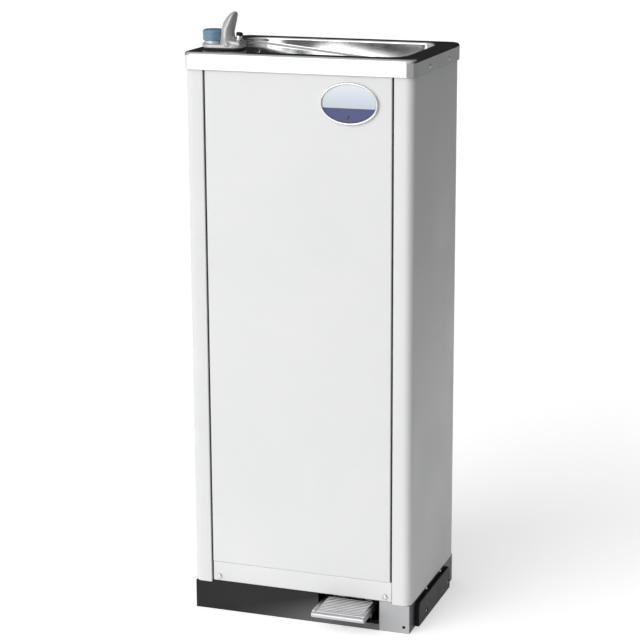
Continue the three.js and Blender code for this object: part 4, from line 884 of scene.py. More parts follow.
@dataclass
class Cabinet:
    """The folded sheet walls, the kick rail and the dark strips of painted shade in the panel gaps."""

    sheet: float = 1.2 * MM
    fold: float = 1.8 * MM
    corner: float = 12.0 * MM
    hem: float = 12.0 * MM
    shade_strip_gap: float = 0.05 * MM
    shade_strip_depth: float = 0.9 * MM
    shade_strip_radius: float = 0.8 * MM

    def skin(self, name: str, corners: Sequence[Point], radii: Sequence[float],
             axis: Axis = Axis.UP) -> bpy.types.Object:
        """Makes a sheet folded along a path, as long as its node.

        Args:
            name: The node that it stands for.
            corners: The path, in the order that puts the thickness on its inner side.
            radii: Each corner's radius.
            axis: The direction of the folds.

        Returns:
            The sheet, undressed.
        """
        low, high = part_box(name)
        span = (low.z, high.z) if axis is Axis.UP else (low.x, high.x)
        return place_object(f"{name}_skin", prism(folded_sheet(corners, radii, self.sheet), *span, axis))

    def side_panel(self, name: str) -> None:
        """Makes a side panel with its front and rear posts."""
        low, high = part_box(name)
        left = high.x < 0
        outer, edge = (low.x, high.x) if left else (high.x, low.x)
        front_hem, back_hem = low.y + self.hem, high.y - self.hem
        corners = [(edge, front_hem), (edge, low.y), (outer, low.y), (outer, high.y),
                   (edge, high.y), (edge, back_hem)]
        radii = [0, self.fold, self.corner, self.corner, self.fold, 0]
        panel = self.skin(name, corners[::-1] if left else corners, radii)
        soften(panel, 0.3 * MM, 2)
        dress(panel, PAINT, "paint", name)

    def flat_panel(self, name: str, flip: bool) -> bpy.types.Object:
        """Makes a panel with a hem at each side and returns it, undressed."""
        low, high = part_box(name)
        face, back = (high.y, low.y) if flip else (low.y, high.y)
        corners = [(low.x, back), (low.x, face), (high.x, face), (high.x, back)]
        return self.skin(name, corners[::-1] if flip else corners, [0, self.fold, self.fold, 0])

    def front_panel(self) -> None:
        """Makes the plain front panel."""
        panel = self.flat_panel("front_panel", False)
        soften(panel, 0.35 * MM, 2)
        dress(panel, PAINT, "paint", "front_panel")

    def kick_rail(self) -> None:
        """Makes the folded channel under the front panel."""
        low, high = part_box("kick_rail")
        corners = [(high.y, high.z), (low.y, high.z), (low.y, low.z), (high.y, low.z)]
        rail = self.skin("kick_rail", corners, [0, self.fold, self.fold, 0], Axis.RIGHT)
        soften(rail, 0.3 * MM, 2)
        dress(rail, PAINT, "paint", "kick_rail")

    def gap_shade_strips(self) -> None:
        """Makes black rubber strips in the gaps beside the front panel, painted shade that darkens the gaps.
        """
        low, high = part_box("front_panel")
        for side, edge, post in (("left", low.x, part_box("side_panel_left")[1].x),
                                 ("right", high.x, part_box("side_panel_right")[0].x)):
            # Painted shade: the black strips stand in for the shadow deep in the gaps.
            near, far = min(edge, post) + self.shade_strip_gap, max(edge, post) - self.shade_strip_gap
            front = low.y + self.shade_strip_depth
            corners = [(near, front), (far, front), (far, high.y), (near, high.y)]
            outline = rounded_path(corners, [self.shade_strip_radius] * 4, closed=True)
            made = place_object(f"panel_gap_shade_{side}", prism(outline, low.z, high.z))
            dress(made, RUBBER, "black_rubber")

    def build(self) -> None:
        """Makes every wall."""
        self.gap_shade_strips()
        self.side_panel("side_panel_left")
        self.side_panel("side_panel_right")
        self.front_panel()
        self.kick_rail()


@dataclass
class BasinTop:
    """The pressed basin: rim, deck, sloping bowl, strainer and side fasteners."""

    sheet: float = 1.5 * MM
    bend: float = 5.0 * MM
    corner: float = 15.0 * MM
    rim_height: float = 23.0 * MM
    deck_margin: float = 22.0 * MM
    side_margin: float = 23.0 * MM
    bowl_corner: float = 28.0 * MM
    deck_right: float = -75.0 * MM
    deck_back: float = -35.0 * MM
    deck_radius: float = 26.0 * MM
    lip: float = 3.0 * MM
    foot: float = 3.0 * MM
    depth: float = 6.0 * MM
    slope: float = 0.1
    drain_x: float = 95.0 * MM
    shank_place: Point = (-116.015 * MM, -64.651 * MM)
    drain_radius: float = 17.0 * MM
    steps: int = 8
    side_screws: tuple[float, ...] = (-43.0 * MM, 48.0 * MM)
    low: Vector = field(default_factory=lambda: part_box("basin_top")[0])
    high: Vector = field(default_factory=lambda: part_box("basin_top")[1])

    def floor(self, x: float) -> float:
        """Returns the bowl floor's height, which falls to the right."""
        left = self.low.x + self.side_margin
        return self.high.z - self.depth - (x - left) * self.slope

    def outline(self, inset: float) -> list[Point]:
        """Returns the bowl's plan, drawn in, with the bubbler's corner left as deck."""
        x = self.high.x - self.side_margin - inset
        y = self.high.y - self.deck_margin - inset
        radius, small = self.bowl_corner - inset, self.bowl_corner / 2 - inset
        deck_x, deck_y = self.deck_right + inset, self.deck_back + inset
        deck_radius = self.deck_radius + inset
        return [
            *arc(x - radius, radius - y, radius, -QUARTER, 0),
            *arc(x - radius, y - radius, radius, 0, QUARTER),
            *arc(radius - x, y - radius, radius, QUARTER, math.pi),
            *arc(small - x, deck_y + small, small, math.pi, 3 * QUARTER),
            *arc(deck_x - deck_radius, deck_y - deck_radius, deck_radius, QUARTER, 0),
            *arc(deck_x + small, small - y, small, math.pi, 3 * QUARTER),
        ]

    def skirt(self, offset: float, bottom: float, top: float, bend: float) -> bmesh.types.BMesh:
        """Returns the solid inside one skin of the rim."""

        def ring(inset: float, z: float) -> list[Vector]:
            """Returns the rim's plan at one height."""
            half_x, half_y = self.high.x - offset - inset, self.high.y - offset - inset
            return ring_at(round_rectangle(half_x, half_y, self.corner - offset - inset, 16), z)

        rings = [ring(0, bottom)]
        rings += [ring(bend * inward, top - bend + bend * up) for inward, up in quarter_bend(self.steps)]
        return loft(rings)

    def bowl(self) -> bmesh.types.BMesh:
        """Returns the space inside the bowl, from above the deck to the floor."""
        top = self.high.z
        mouth = self.outline(-0.2 * MM)
        rings = [ring_at(mouth, top + 5 * MM), ring_at(mouth, top + 0.02 * MM)]
        for inward, up in quarter_bend(self.steps):
            rings.append(ring_at(self.outline(self.lip * up), top - self.lip * inward))
        for inward, up in quarter_bend(self.steps):
            rise = self.foot * (1 - up)
            inset = self.lip + self.foot * inward
            rings.append(ring_at(self.outline(inset), lambda x, rise=rise: self.floor(x) + rise))
        return loft(rings[::-1])

    def shell(self) -> bmesh.types.BMesh:
        """Returns the solid that the bowl is cut from, a sheet thicker all round."""
        inset = self.lip - self.sheet
        rings = [
            ring_at(self.outline(inset), lambda x: self.floor(x) - self.sheet),
            ring_at(self.outline(inset), self.high.z - self.sheet / 2),
        ]
        return loft(rings)

    def top(self) -> None:
        """Makes the pressed sheet itself."""
        bottom, top = self.high.z - self.rim_height, self.high.z
        made = place_object("basin_sheet", self.skirt(0, bottom, top, self.bend))
        inner = self.skirt(self.sheet, bottom - 5 * MM, top - self.sheet, self.bend - self.sheet)
        combine(made, ("DIFFERENCE", inner), ("UNION", self.shell()), ("DIFFERENCE", self.bowl()))
        down, up = -80 * MM, 40 * MM
        drain = turned(rod(self.drain_radius, down, up), centre=(self.drain_x, 0, top))
        shank = turned(rod(Bubbler.shank_radius, down, up), centre=(*self.shank_place, top))
        combine(made, ("DIFFERENCE", drain), ("DIFFERENCE", shank))
        weigh(made)
        dress(made, STAINLESS, "stainless", "basin_top")

    def strainer(self) -> None:
        """Makes the slotted strainer, square to the sloping floor."""
        low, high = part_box("drain_strainer")
        radius, thick = (high.y - low.y) / 2, 1.5 * MM
        place = Matrix.Translation((self.drain_x, 0, self.floor(self.drain_x)))
        tilt = place @ Matrix.Rotation(math.atan(self.slope), 4, "Y")
        profile = [(0, 0.3 * MM), (radius - 1.2 * MM, 0.3 * MM), (radius, 0.7 * MM),
                   (radius - 0.5 * MM, 1.3 * MM), (radius - 2 * MM, 1.8 * MM),
                   (radius - 5 * MM, 1.75 * MM), (radius - 7 * MM, thick), (0, thick)]
        made = place_object("strainer_plate", turned(profile, segments=96))
        holes = [turned(rod(2.2 * MM, -9 * MM, 9 * MM), segments=24)]
        for count, circle in ((6, 6.5 * MM), (12, 12.5 * MM)):
            for i in range(count):
                angle = 2 * math.pi * i / count
                centre = (circle * math.cos(angle), circle * math.sin(angle), 0)
                holes.append(turned(rod(1.9 * MM, -9 * MM, 9 * MM), centre=centre, segments=24))
        combine(made, ("DIFFERENCE", joined(*holes)))
        made.data.transform(tilt)
        weigh(made)
        dress(made, SATIN_STEEL, "stainless", "drain_strainer")

    def screws(self) -> None:
        """Makes the two small fasteners in the rim's right side."""
        heads = ScrewHeads(radius=2.6 * MM, height=1.0 * MM)
        level = self.high.z - self.rim_height + 8 * MM
        seeds = [Vector((self.high.x - 0.02 * MM, y, level)) for y in self.side_screws]
        made = heads.pattern(RIGHT_TURN).run("rim_screws", seeds, CHROME)
        dress(made, CHROME, "chrome")

    def build(self) -> None:
        """Makes the whole top."""
        self.top()
        self.strainer()
        self.screws()


@dataclass
class Bubbler:
    """The die-cast bubbler: foot, boss, mouth guard, button and nozzle."""

    turn: float = 5.0
    place: tuple[float, float] = (-120.0 * MM, -65.0 * MM)
    deck: float = 792.0 * MM
    boss: float = -14.5 * MM
    foot_half: Point = (29.0 * MM, 19.0 * MM)
    foot_radius: float = 15.0 * MM
    foot_bottom: float = 2.6 * MM
    foot_top: float = 7.6 * MM
    wedge_left: float = -4.0 * MM
    block_left: float = 4.0 * MM
    wedge_right: float = 26.0 * MM
    wedge_high: float = 15.0 * MM
    wedge_low: float = 10.5 * MM
    wedge_half: float = 16.0 * MM
    neck_radius: float = 12.6 * MM
    neck_top: float = 18.0 * MM
    button_clearance: float = 15.2 * MM
    nozzle_x: float = 20.5 * MM
    # Height, left edge, right edge and half depth of each section, in millimetres.
    guard: tuple[tuple[float, float, float, float], ...] = (
        (6.0, -5.6, 22.0, 15.5), (9.0, -6.0, 20.0, 14.6), (12.0, -6.4, 17.4, 12.8),
        (15.0, -6.8, 15.6, 10.8), (19.0, -6.9, 14.8, 9.4), (23.0, -6.8, 14.6, 8.9),
        (27.0, -6.0, 15.4, 8.7), (31.0, -3.6, 16.4, 8.6), (35.0, -0.8, 17.4, 8.4),
        (39.0, 2.0, 18.3, 8.1), (43.0, 5.0, 19.1, 7.6), (46.0, 7.8, 19.5, 6.9),
        (48.4, 10.6, 19.2, 5.6), (50.0, 13.2, 18.0, 3.6), (50.6, 14.8, 16.8, 1.6))
    ridge: float = 3.4
    # Inner radius, outer radius, bottom and top of the space that the cap slides in.
    cap_room: tuple[float, float, float, float] = (12.8 * MM, 15.2 * MM, 8.2 * MM, 30.0 * MM)
    # Outer radius, bottom, top, inner radius and ceiling of the cap.
    cap: tuple[float, float, float, float, float] = (14.8 * MM, 12.0 * MM, 26.5 * MM, 13.0 * MM, 21.9 * MM)
    shank_x: float = 4.0 * MM
    shank_radius: float = 7.9 * MM
    relaxing: int = 14
    ridge_at: float = 0.1
    blend: float = 0.62 * MM

    def matrix(self) -> Matrix:
        """Returns the turn and place of the bubbler on the deck."""
        spin = Matrix.Rotation(math.radians(self.turn), 4, "Z")
        return Matrix.Translation((*self.place, self.deck)) @ spin

    def fall(self) -> float:
        """Returns how fast the block's top falls to the right."""
        return (self.wedge_high - self.wedge_low) / (self.wedge_right - self.wedge_left)

    def seat(self, x: float) -> float:
        """Returns the height of the block's top."""
        return self.wedge_high - self.fall() * (x - self.wedge_left)

    def guard_mesh(self) -> bmesh.types.BMesh:
        """Returns the mouth guard, a leaning fin with a blunt front ridge."""
        rings = []
        count = 48
        for height, left, right, half in self.guard:
            middle, wide = (left + right) / 2, (right - left) / 2
            ring = []
            for i in range(count):
                angle = 2 * math.pi * i / count
                c, s = math.cos(angle), math.sin(angle)
                x = middle + wide * math.copysign(abs(c) ** 0.9, c)
                y = half * math.copysign(abs(s) ** 0.9, s)
                ridge = max(0.0, -s) * max(0.0, 1 - abs(c - self.ridge_at) / 0.75)
                ring.append(Vector((x * MM, (y - self.ridge * ridge * half / 8) * MM, height * MM)))
            rings.append(ring)
        return loft(rings)

    def body(self) -> None:
        """Makes the casting."""
        foot = [ring_at(round_rectangle(self.foot_half[0] - inset, self.foot_half[1] - inset,
                                        self.foot_radius - inset), height)
                for inset, height in self.soft_edges(self.foot_bottom, self.foot_top, 1.6 * MM)]
        made = place_object("bubbler_casting", loft(foot))
        wedge = prism(rounded_path(
            [(self.block_left, self.foot_top - MM), (self.wedge_right + MM, self.foot_top - MM),
             (self.wedge_right, self.wedge_low), (self.block_left, self.seat(self.block_left))],
            [0, 0, 2 * MM, MM], closed=True), -self.wedge_half, self.wedge_half, Axis.FRONT)
        clearance = turned(rod(self.button_clearance, self.foot_top, 60 * MM), centre=(self.boss, 0, 0),
                           segments=96)
        skirt = self.foot_top + 0.75 * MM
        profile = [(0, self.foot_top - MM), (self.neck_radius + 2.1 * MM, self.foot_top - MM),
                   (self.neck_radius + 1.9 * MM, skirt), (self.neck_radius, skirt + 0.6 * MM),
                   (self.neck_radius, self.neck_top), (0, self.neck_top)]
        neck = turned(profile, centre=(self.boss, 0, 0), segments=96)
        combine(made, ("UNION", wedge), ("UNION", self.guard_mesh()), ("DIFFERENCE", clearance),
                ("UNION", neck))
        self.cast(made)
        made.data.transform(self.matrix())
        dress(made, DIE_CAST, "die_cast", "bubbler_body")

    def cast(self, made: bpy.types.Object) -> None:
        """Runs the joined shapes into each other, with the small fillets of a casting."""
        remesh = made.modifiers.new("one skin", "REMESH")
        remesh.mode = "VOXEL"
        remesh.voxel_size = self.blend
        remesh.use_smooth_shade = True
        relax = made.modifiers.new("fillets", "SMOOTH")
        relax.factor = 0.5
        relax.iterations = self.relaxing
        bake_modifiers(made, 80)
        inner, outer, low, high = self.cap_room
        room = [(inner, low), (outer, low), (outer, high), (inner, high)]
        combine(made, ("DIFFERENCE", turned(room, centre=(self.boss, 0, 0), segments=128)))

    def soft_edges(self, bottom: float, top: float, radius: float) -> list[Point]:
        """Returns inset and height pairs for a slab with rounded upper edges."""
        upper = [(radius * inward, top - radius + radius * up) for inward, up in quarter_bend(6)]
        return [(0.4 * MM, bottom), (0, bottom + 0.4 * MM), *upper]

    def gasket(self) -> None:
        """Makes the rubber gasket under the casting."""
        half_x, half_y = self.foot_half[0] - MM, self.foot_half[1] - MM
        radius = self.foot_radius - MM
        steps = ((0.5 * MM, 0.3 * MM), (0, 0.8 * MM), (0, 1.8 * MM), (0.5 * MM, 2.3 * MM))
        rings = [ring_at(round_rectangle(half_x - inset, half_y - inset, radius - inset), height)
                 for inset, height in steps]
        made = place_object("gasket_pad", loft(rings))
        hole = turned(rod(self.shank_radius, -9 * MM, 9 * MM), centre=(self.shank_x, 0, 0))
        combine(made, ("DIFFERENCE", hole))
        made.data.transform(self.matrix())
        dress(made, RUBBER, "black_rubber", "bubbler_gasket")

    def button(self) -> None:
        """Makes the sliding cap with its rounded crown."""
        radius, bottom, top, inner, ceiling = self.cap
        profile = [(0, ceiling), (inner, ceiling), (inner, bottom), (radius - 0.6 * MM, bottom),
                   (radius, bottom + 0.6 * MM),
                   *arc(radius - 3 * MM, top - 3.2 * MM, 3 * MM, 0, QUARTER, 8),
                   (radius - 4.2 * MM, top - 0.55 * MM), (radius - 5.5 * MM, top - 0.4 * MM),
                   (radius - 9 * MM, top - 0.1 * MM), (0, top)]
        mesh = turned(profile, centre=(self.boss, 0, 0), segments=128)
        made = place_object("button_cap", mesh)
        made.data.transform(self.matrix())
        weigh(made)
        dress(made, BLUE, "blue_plastic", "push_button", body=Body.BUTTON)

    def nozzle(self) -> None:
        """Makes the bright nozzle and its black collar, square to the wedge."""
        seat = self.seat(self.nozzle_x) + 0.35 * MM
        place = Matrix.Translation((self.nozzle_x, 0, seat))
        tilt = place @ Matrix.Rotation(math.atan(self.fall()), 4, "Y")
        bore, split, top = 1.6 * MM, 6.6 * MM, 11.0 * MM
        lower = [(bore, 0), (4.8 * MM, 0), (5 * MM, 0.3 * MM), (5 * MM, 2.4 * MM),
                 (4.4 * MM, 3.2 * MM), (4 * MM, 3.8 * MM), (4 * MM, split), (bore, split)]
        upper = [(bore, split + 0.05 * MM), (4.3 * MM, split + 0.05 * MM),
                 (4.6 * MM, split + 0.4 * MM), (4.6 * MM, top - 1.2 * MM), (4.1 * MM, top - 0.3 * MM),
                 (3.4 * MM, top), (bore + 0.8 * MM, top), (bore, top - 0.8 * MM)]
        for name, profile, finish, slot, nodes in (
                ("nozzle_stub", lower, CHROME, "chrome", ("nozzle",)),
                ("nozzle_collar", upper, BLACK_PLASTIC, "black_plastic", ())):
            made = place_object(name, turned(profile, segments=64))
            made.data.transform(self.matrix() @ tilt)
            weigh(made)
            dress(made, finish, slot, *nodes)

    def build(self) -> None:
        """Makes the visible pieces above the deck."""
        self.gasket()
        self.body()
        self.button()
        self.nozzle()


@dataclass
class Badge:
    """The oval badge: chrome ring, two-colour enamel and lamp."""

    rim: float = 3.2 * MM
    crown_steps: int = 12
    segments: int = 128

    def ellipse(self, half_x: float, half_z: float) -> list[Point]:
        """Returns an oval outline."""
        angles = (2 * math.pi * i / self.segments for i in range(self.segments))
        return [(half_x * math.cos(a), half_z * math.sin(a)) for a in angles]

    def rings(self, node: str, steps: Sequence[Point]) -> list[list[Vector]]:
        """Returns the node's oval at several insets and depths from its back."""
        low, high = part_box(node)
        centre = (low + high) / 2
        half_x, half_z = (high.x - low.x) / 2, (high.z - low.z) / 2
        return [[Vector((centre.x + x, high.y - depth, centre.z + z))
                 for x, z in self.ellipse(half_x - inset, half_z - inset)] for inset, depth in steps]

    def bezel(self) -> None:
        """Makes the rounded chrome ring."""
        low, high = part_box("badge_bezel")
        depth = high.y - low.y
        half = self.rim / 2
        turns = [i / self.crown_steps * math.pi for i in range(self.crown_steps + 1)]
        crown = [(half - half * math.cos(a), depth * (0.45 + 0.55 * math.sin(a))) for a in turns]
        steps = [(0, 0), *crown, (self.rim, 0)]
        made = place_object("badge_ring", loft(self.rings("badge_bezel", steps), around=True), 50)
        weigh(made)
        dress(made, CHROME, "chrome", "badge_bezel")

    def plate(self) -> None:
        """Makes the gently domed enamel plate."""
        low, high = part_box("badge_plate")
        depth = high.y - low.y
        half = (high.z - low.z) / 2
        steps = [(0, 0), (0, depth * 0.7)]
        steps += [(half * share, depth * (0.76 + 0.24 * math.sin(share * QUARTER)))
                  for share in (0.02, 0.08, 0.2, 0.4, 0.6, 0.8, 0.97)]
        made = place_object("badge_enamel", loft(self.rings("badge_plate", steps)), 50)
        dress(made, ENAMEL, "badge_enamel", "badge_plate")

    def lamp(self) -> None:
        """Makes the small domed lamp with its dark collar."""
        low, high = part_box("badge_lamp")
        centre = between(low, high, high.y)
        radius, height = (high.x - low.x) / 2, high.y - low.y
        dome = arc(0, 0, radius * 0.72, 0, QUARTER, 8)
        profile = [(0, 0), (radius, 0), (radius, height * 0.5), (radius * 0.8, height * 0.62),
                   *[(r, height * (0.55 + 0.45 * z / (radius * 0.72))) for r, z in dome[:-1]], (0, height)]
        made = place_object("badge_lamp_dome", turned(profile, Axis.FRONT, centre, 48))
        dress(made, LENS, "lamp_lens", "badge_lamp")

    def build(self) -> None:
        """Makes the badge."""
        self.bezel()
        self.plate()
        self.lamp()


@dataclass
class Pedal:
    """The ribbed tread plate."""

    deck: float = 1.6 * MM
    rail: float = 5.0 * MM
    rib_pitch: float = 5.4 * MM
    rib_radius: float = 1.5 * MM

    def tread(self) -> None:
        """Makes the extruded plate with a rounded nose and raised side rails."""
        low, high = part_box("pedal_tread")
        floor = high.z - self.deck
        nose = (floor - low.z) / 2
        centre_y, centre_z = low.y + nose, low.z + nose
        section = [(high.y, low.z), (high.y, floor),
                   *arc(centre_y, centre_z, nose, QUARTER, 3 * QUARTER, 16)]
        made = place_object("tread_plate", prism(section, low.x, high.x, Axis.RIGHT))
        rails = [slab((left, centre_y, floor - MM), (left + self.rail, high.y, high.z))
                 for left in (low.x, high.x - self.rail)]
        combine(made, *(("UNION", rail) for rail in rails))
        soften(made, 0.7 * MM, 3)
        weigh(made)
        dress(made, ALUMINIUM, "aluminium", "pedal_tread", body=Body.PEDAL)

    def ribs(self) -> None:
        """Makes the half-round ribs across the plate."""
        low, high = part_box("pedal_tread")
        length = high.x - low.x - 2 * self.rail - 0.4 * MM
        pattern = Pattern("tread ribs", {"Length": length, "Radius": self.rib_radius})
        bar = pattern.tree.add("GeometryNodeMeshCylinder", {
            "Vertices": 20, "Radius": pattern.size("Radius"), "Depth": pattern.size("Length")})
        pattern.finish(pattern.moved(bar.outputs[0], Rotation=(0.0, QUARTER, 0.0)))
        start, end = low.y + 6.5 * MM, high.y - 2.5 * MM
        count = int((end - start) / self.rib_pitch) + 1
        middle, level = (low.x + high.x) / 2, high.z - self.deck - 0.1 * MM
        seeds = [Vector((middle, start + i * self.rib_pitch, level)) for i in range(count)]
        made = pattern.run("tread_ribs", seeds, ALUMINIUM)
        dress(made, ALUMINIUM, "aluminium", body=Body.PEDAL)

    def build(self) -> None:
        """Makes the tread."""
        self.tread()
        self.ribs()


@dataclass
class Base:
    """The black base: plinth, side plates, and the screws in them and in the kick rail."""

    chamfer: float = 6.0 * MM
    window: tuple[float, float, float] = (26.0 * MM, 115.0 * MM, 9.0 * MM)
    hole: tuple[float, float, float] = (151.0 * MM, 9.0 * MM, 2.2 * MM)
    shoulder: float = 40.7 * MM
    pan_screws: tuple[Point, ...] = ((-26.0 * MM, 37.4 * MM), (44.0 * MM, 37.4 * MM))
    plate_screws: tuple[Point, ...] = ((-39.0 * MM, 9.0 * MM), (72.0 * MM, 10.0 * MM))
    pocket: Point = (4.4 * MM, 2.2 * MM)

    def plinth(self) -> None:
        """Makes the front plate with its pedal window."""
        low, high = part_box("plinth_front")
        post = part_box("side_panel_right")[0].x - 0.3 * MM
        shape = [(low.x, low.z), (high.x, low.z), (high.x, self.shoulder), (post, self.shoulder),
                 (post, high.z), (-post, high.z), (-post, self.shoulder), (low.x, self.shoulder)]
        made = place_object("plinth_plate", prism(shape, low.y, high.y, Axis.FRONT))
        left, right, bottom = self.window
        top = high.z + 5 * MM
        corners = [(left, bottom), (right, bottom), (right, top), (left, top)]
        outline = rounded_path(corners, [1.5 * MM, 1.5 * MM, 0, 0], closed=True)
        opening = prism(outline, low.y - 5 * MM, high.y + 5 * MM, Axis.FRONT)
        x, z, radius = self.hole
        drilled = turned(rod(radius, -9 * MM, 9 * MM), Axis.FRONT, (x, low.y, z), 48)
        combine(made, ("DIFFERENCE", opening), ("DIFFERENCE", drilled))
        soften(made, 0.25 * MM, 2)
        dress(made, PLINTH, "galvanised", "plinth_front")

    def side_plate(self, name: str) -> None:
        """Makes one side plate with cut top corners."""
        low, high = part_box(name)
        cut_off = self.chamfer
        shape = [(low.y, low.z), (high.y, low.z), (high.y, high.z - cut_off),
                 (high.y - cut_off, high.z), (low.y + cut_off, high.z), (low.y, high.z - cut_off)]
        made = place_object(f"{name}_moulding", prism(shape, low.x, high.x, Axis.RIGHT))
        face = high.x if high.x > 0 else low.x
        radius, deep = self.pocket
        pockets = [turned(rod(radius, -deep, deep), Axis.RIGHT, (face, y, z), 48)
                   for y, z in self.plate_screws]
        combine(made, ("DIFFERENCE", joined(*pockets)))
        soften(made, 0.6 * MM, 3)
        weigh(made)
        dress(made, BLACK_PLASTIC, "black_plastic", name)

    def screws(self) -> None:
        """Makes the screw heads in both side plates."""
        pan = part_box("base_pan")[1].x
        for name, turn, side in (("side_plate_right", RIGHT_TURN, 1), ("side_plate_left", LEFT_TURN, -1)):
            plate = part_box(name)[1].x if side > 0 else -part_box(name)[0].x
            seeds = [Vector((side * (plate - self.pocket[1]), y, z)) for y, z in self.plate_screws]
            seeds += [Vector((side * pan, y, z)) for y, z in self.pan_screws]
            heads = ScrewHeads(radius=3.1 * MM, height=2.1 * MM)
            made = heads.pattern(turn).run(f"{name}_screws", seeds, SATIN_STEEL)
            dress(made, SATIN_STEEL, "chrome")

    def rail_screws(self) -> None:
        """Makes the two domed screws in the kick rail."""
        for name in ("rail_screw_left", "rail_screw_right"):
            low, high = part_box(name)
            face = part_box("kick_rail")[0].y
            heads = ScrewHeads(radius=(high.x - low.x) / 2, height=face - low.y)
            seeds = [between(low, high, face)]
            made = heads.pattern(FRONT_TURN).run(f"{name}_head", seeds, SATIN_STEEL)
            dress(made, SATIN_STEEL, "chrome")

    def build(self) -> None:
        """Makes the base."""
        self.plinth()
        self.side_plate("side_plate_left")
        self.side_plate("side_plate_right")
        self.screws()
        self.rail_screws()


@dataclass
class Back:
    """The louvred back panel and the thermostat's knob."""

    flutes: int = 16
    columns: Point = (-95.0 * MM, -32.0 * MM)
    rows: tuple[tuple[float, int], ...] = ((92.0 * MM, 8), (300.0 * MM, 4))
    pitch: float = 14.0 * MM
    slot: Point = (55.0 * MM, 5.0 * MM)
    hood: tuple[float, float, float] = (59.0 * MM, 4.0 * MM, 9.0 * MM)
    hood_sheet: float = 0.8 * MM
    holes: tuple[tuple[float, float, float], ...] = (
        (16.0 * MM, 90.0 * MM, 9.4 * MM), (60.0 * MM, 200.0 * MM, 8.4 * MM),
        (112.0 * MM, 190.0 * MM, 8.4 * MM), (-95.0 * MM, 560.0 * MM, 3.4 * MM))

    def slots(self) -> list[Point]:
        """Returns the middle of each louvre's slot."""
        rise = self.slot[1] / 2
        return [(x, bottom + i * self.pitch + rise)
                for x in self.columns for bottom, count in self.rows for i in range(count)]

    def panel(self) -> None:
        """Makes the hemmed panel with its slots and holes."""
        made = Cabinet().flat_panel("back_panel", True)
        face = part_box("back_panel")[1].y
        half, rise = self.slot[0] / 2, self.slot[1] / 2
        near, far = face - 5 * MM, face + 5 * MM
        slots = [slab((x - half, near, z - rise), (x + half, far, z + rise)) for x, z in self.slots()]
        holes = [turned(rod(radius, -5 * MM, 5 * MM), Axis.BACK, (x, face, z), 48)
                 for x, z, radius in self.holes]
        combine(made, ("DIFFERENCE", joined(*slots, *holes)))
        soften(made, 0.25 * MM, 2)
        dress(made, PAINT, "paint", "back_panel")

    def hoods(self) -> None:
        """Makes the pressed hoods over the slots."""
        width, depth, height = self.hood
        pattern = Pattern("louvre hoods", {"Width": width, "Depth": depth, "Height": height})
        tree = pattern.tree
        dome = tree.add("GeometryNodeMeshUVSphere", {"Segments": 48, "Rings": 24, "Radius": 0.5})
        deep = tree.math("MULTIPLY", pattern.size("Depth"), 2.0)
        tall = tree.math("MULTIPLY", pattern.size("Height"), 2.0)
        size = pattern.vector(pattern.size("Width"), deep, tall)
        both_walls = (2 * self.hood_sheet,) * 3
        inside = tree.add("ShaderNodeVectorMath", {0: size, 1: both_walls}, operation="SUBTRACT")
        shell, hollow = (pattern.moved(dome.outputs[0], Scale=scale) for scale in (size, inside.outputs[0]))
        block = tree.add("GeometryNodeMeshCube", {"Size": (1.0, 1.0, 1.0)})
        below, front = (pattern.moved(block.outputs[0], Translation=way)
                        for way in ((0.0, 0.0, -0.5), (0.0, -0.5, 0.0)))
        result = shell
        for tool in (hollow, below, front):
            result = pattern.cut(result, tool)
        pattern.finish(result)
        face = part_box("back_panel")[1].y
        rise = self.slot[1] / 2
        seeds = [Vector((x, face - 0.05 * MM, z - rise)) for x, z in self.slots()]
        made = pattern.run("louvre_hoods", seeds, PAINT)
        dress(made, PAINT, "paint")

    def knob(self) -> None:
        """Makes the thermostat's fluted knob with a pointer groove."""
        low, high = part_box("thermostat_dial")
        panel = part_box("back_panel")[1].y
        centre = between(low, high, 0)
        radius = (high.x - low.x) / 2
        seat, outer = panel + 0.3 * MM, high.y
        profile = [(0, low.y), (3 * MM, low.y), (3 * MM, seat), (radius, seat),
                   (radius, seat + 2 * MM), (radius - 1 * MM, seat + 2.6 * MM),
                   (radius - 1.6 * MM, outer - 1.2 * MM), (radius - 2.6 * MM, outer - 0.2 * MM),
                   (radius - 3.4 * MM, outer), (0, outer)]
        made = place_object("dial_knob", turned(profile, Axis.BACK, centre, 96))
        flutes = []
        for i in range(self.flutes):
            angle = 2 * math.pi * i / self.flutes
            place = centre + Vector((radius * math.cos(angle), seat + 2 * MM, radius * math.sin(angle)))
            flutes.append(turned(rod(1.3 * MM, 0, 20 * MM), Axis.BACK, place, 24))
        groove = slab((centre.x - 0.5 * MM, outer - 0.8 * MM, centre.z + 2 * MM),
                      (centre.x + 0.5 * MM, outer + MM, centre.z + radius))
        combine(made, ("DIFFERENCE", joined(*flutes)), ("DIFFERENCE", groove))
        soften(made, 0.3 * MM, 2)
        dress(made, BLACK_PLASTIC, "black_plastic", "thermostat_dial", body=Body.DIAL)

    def build(self) -> None:
        """Makes the back."""
        self.panel()
        self.hoods()
        self.knob()


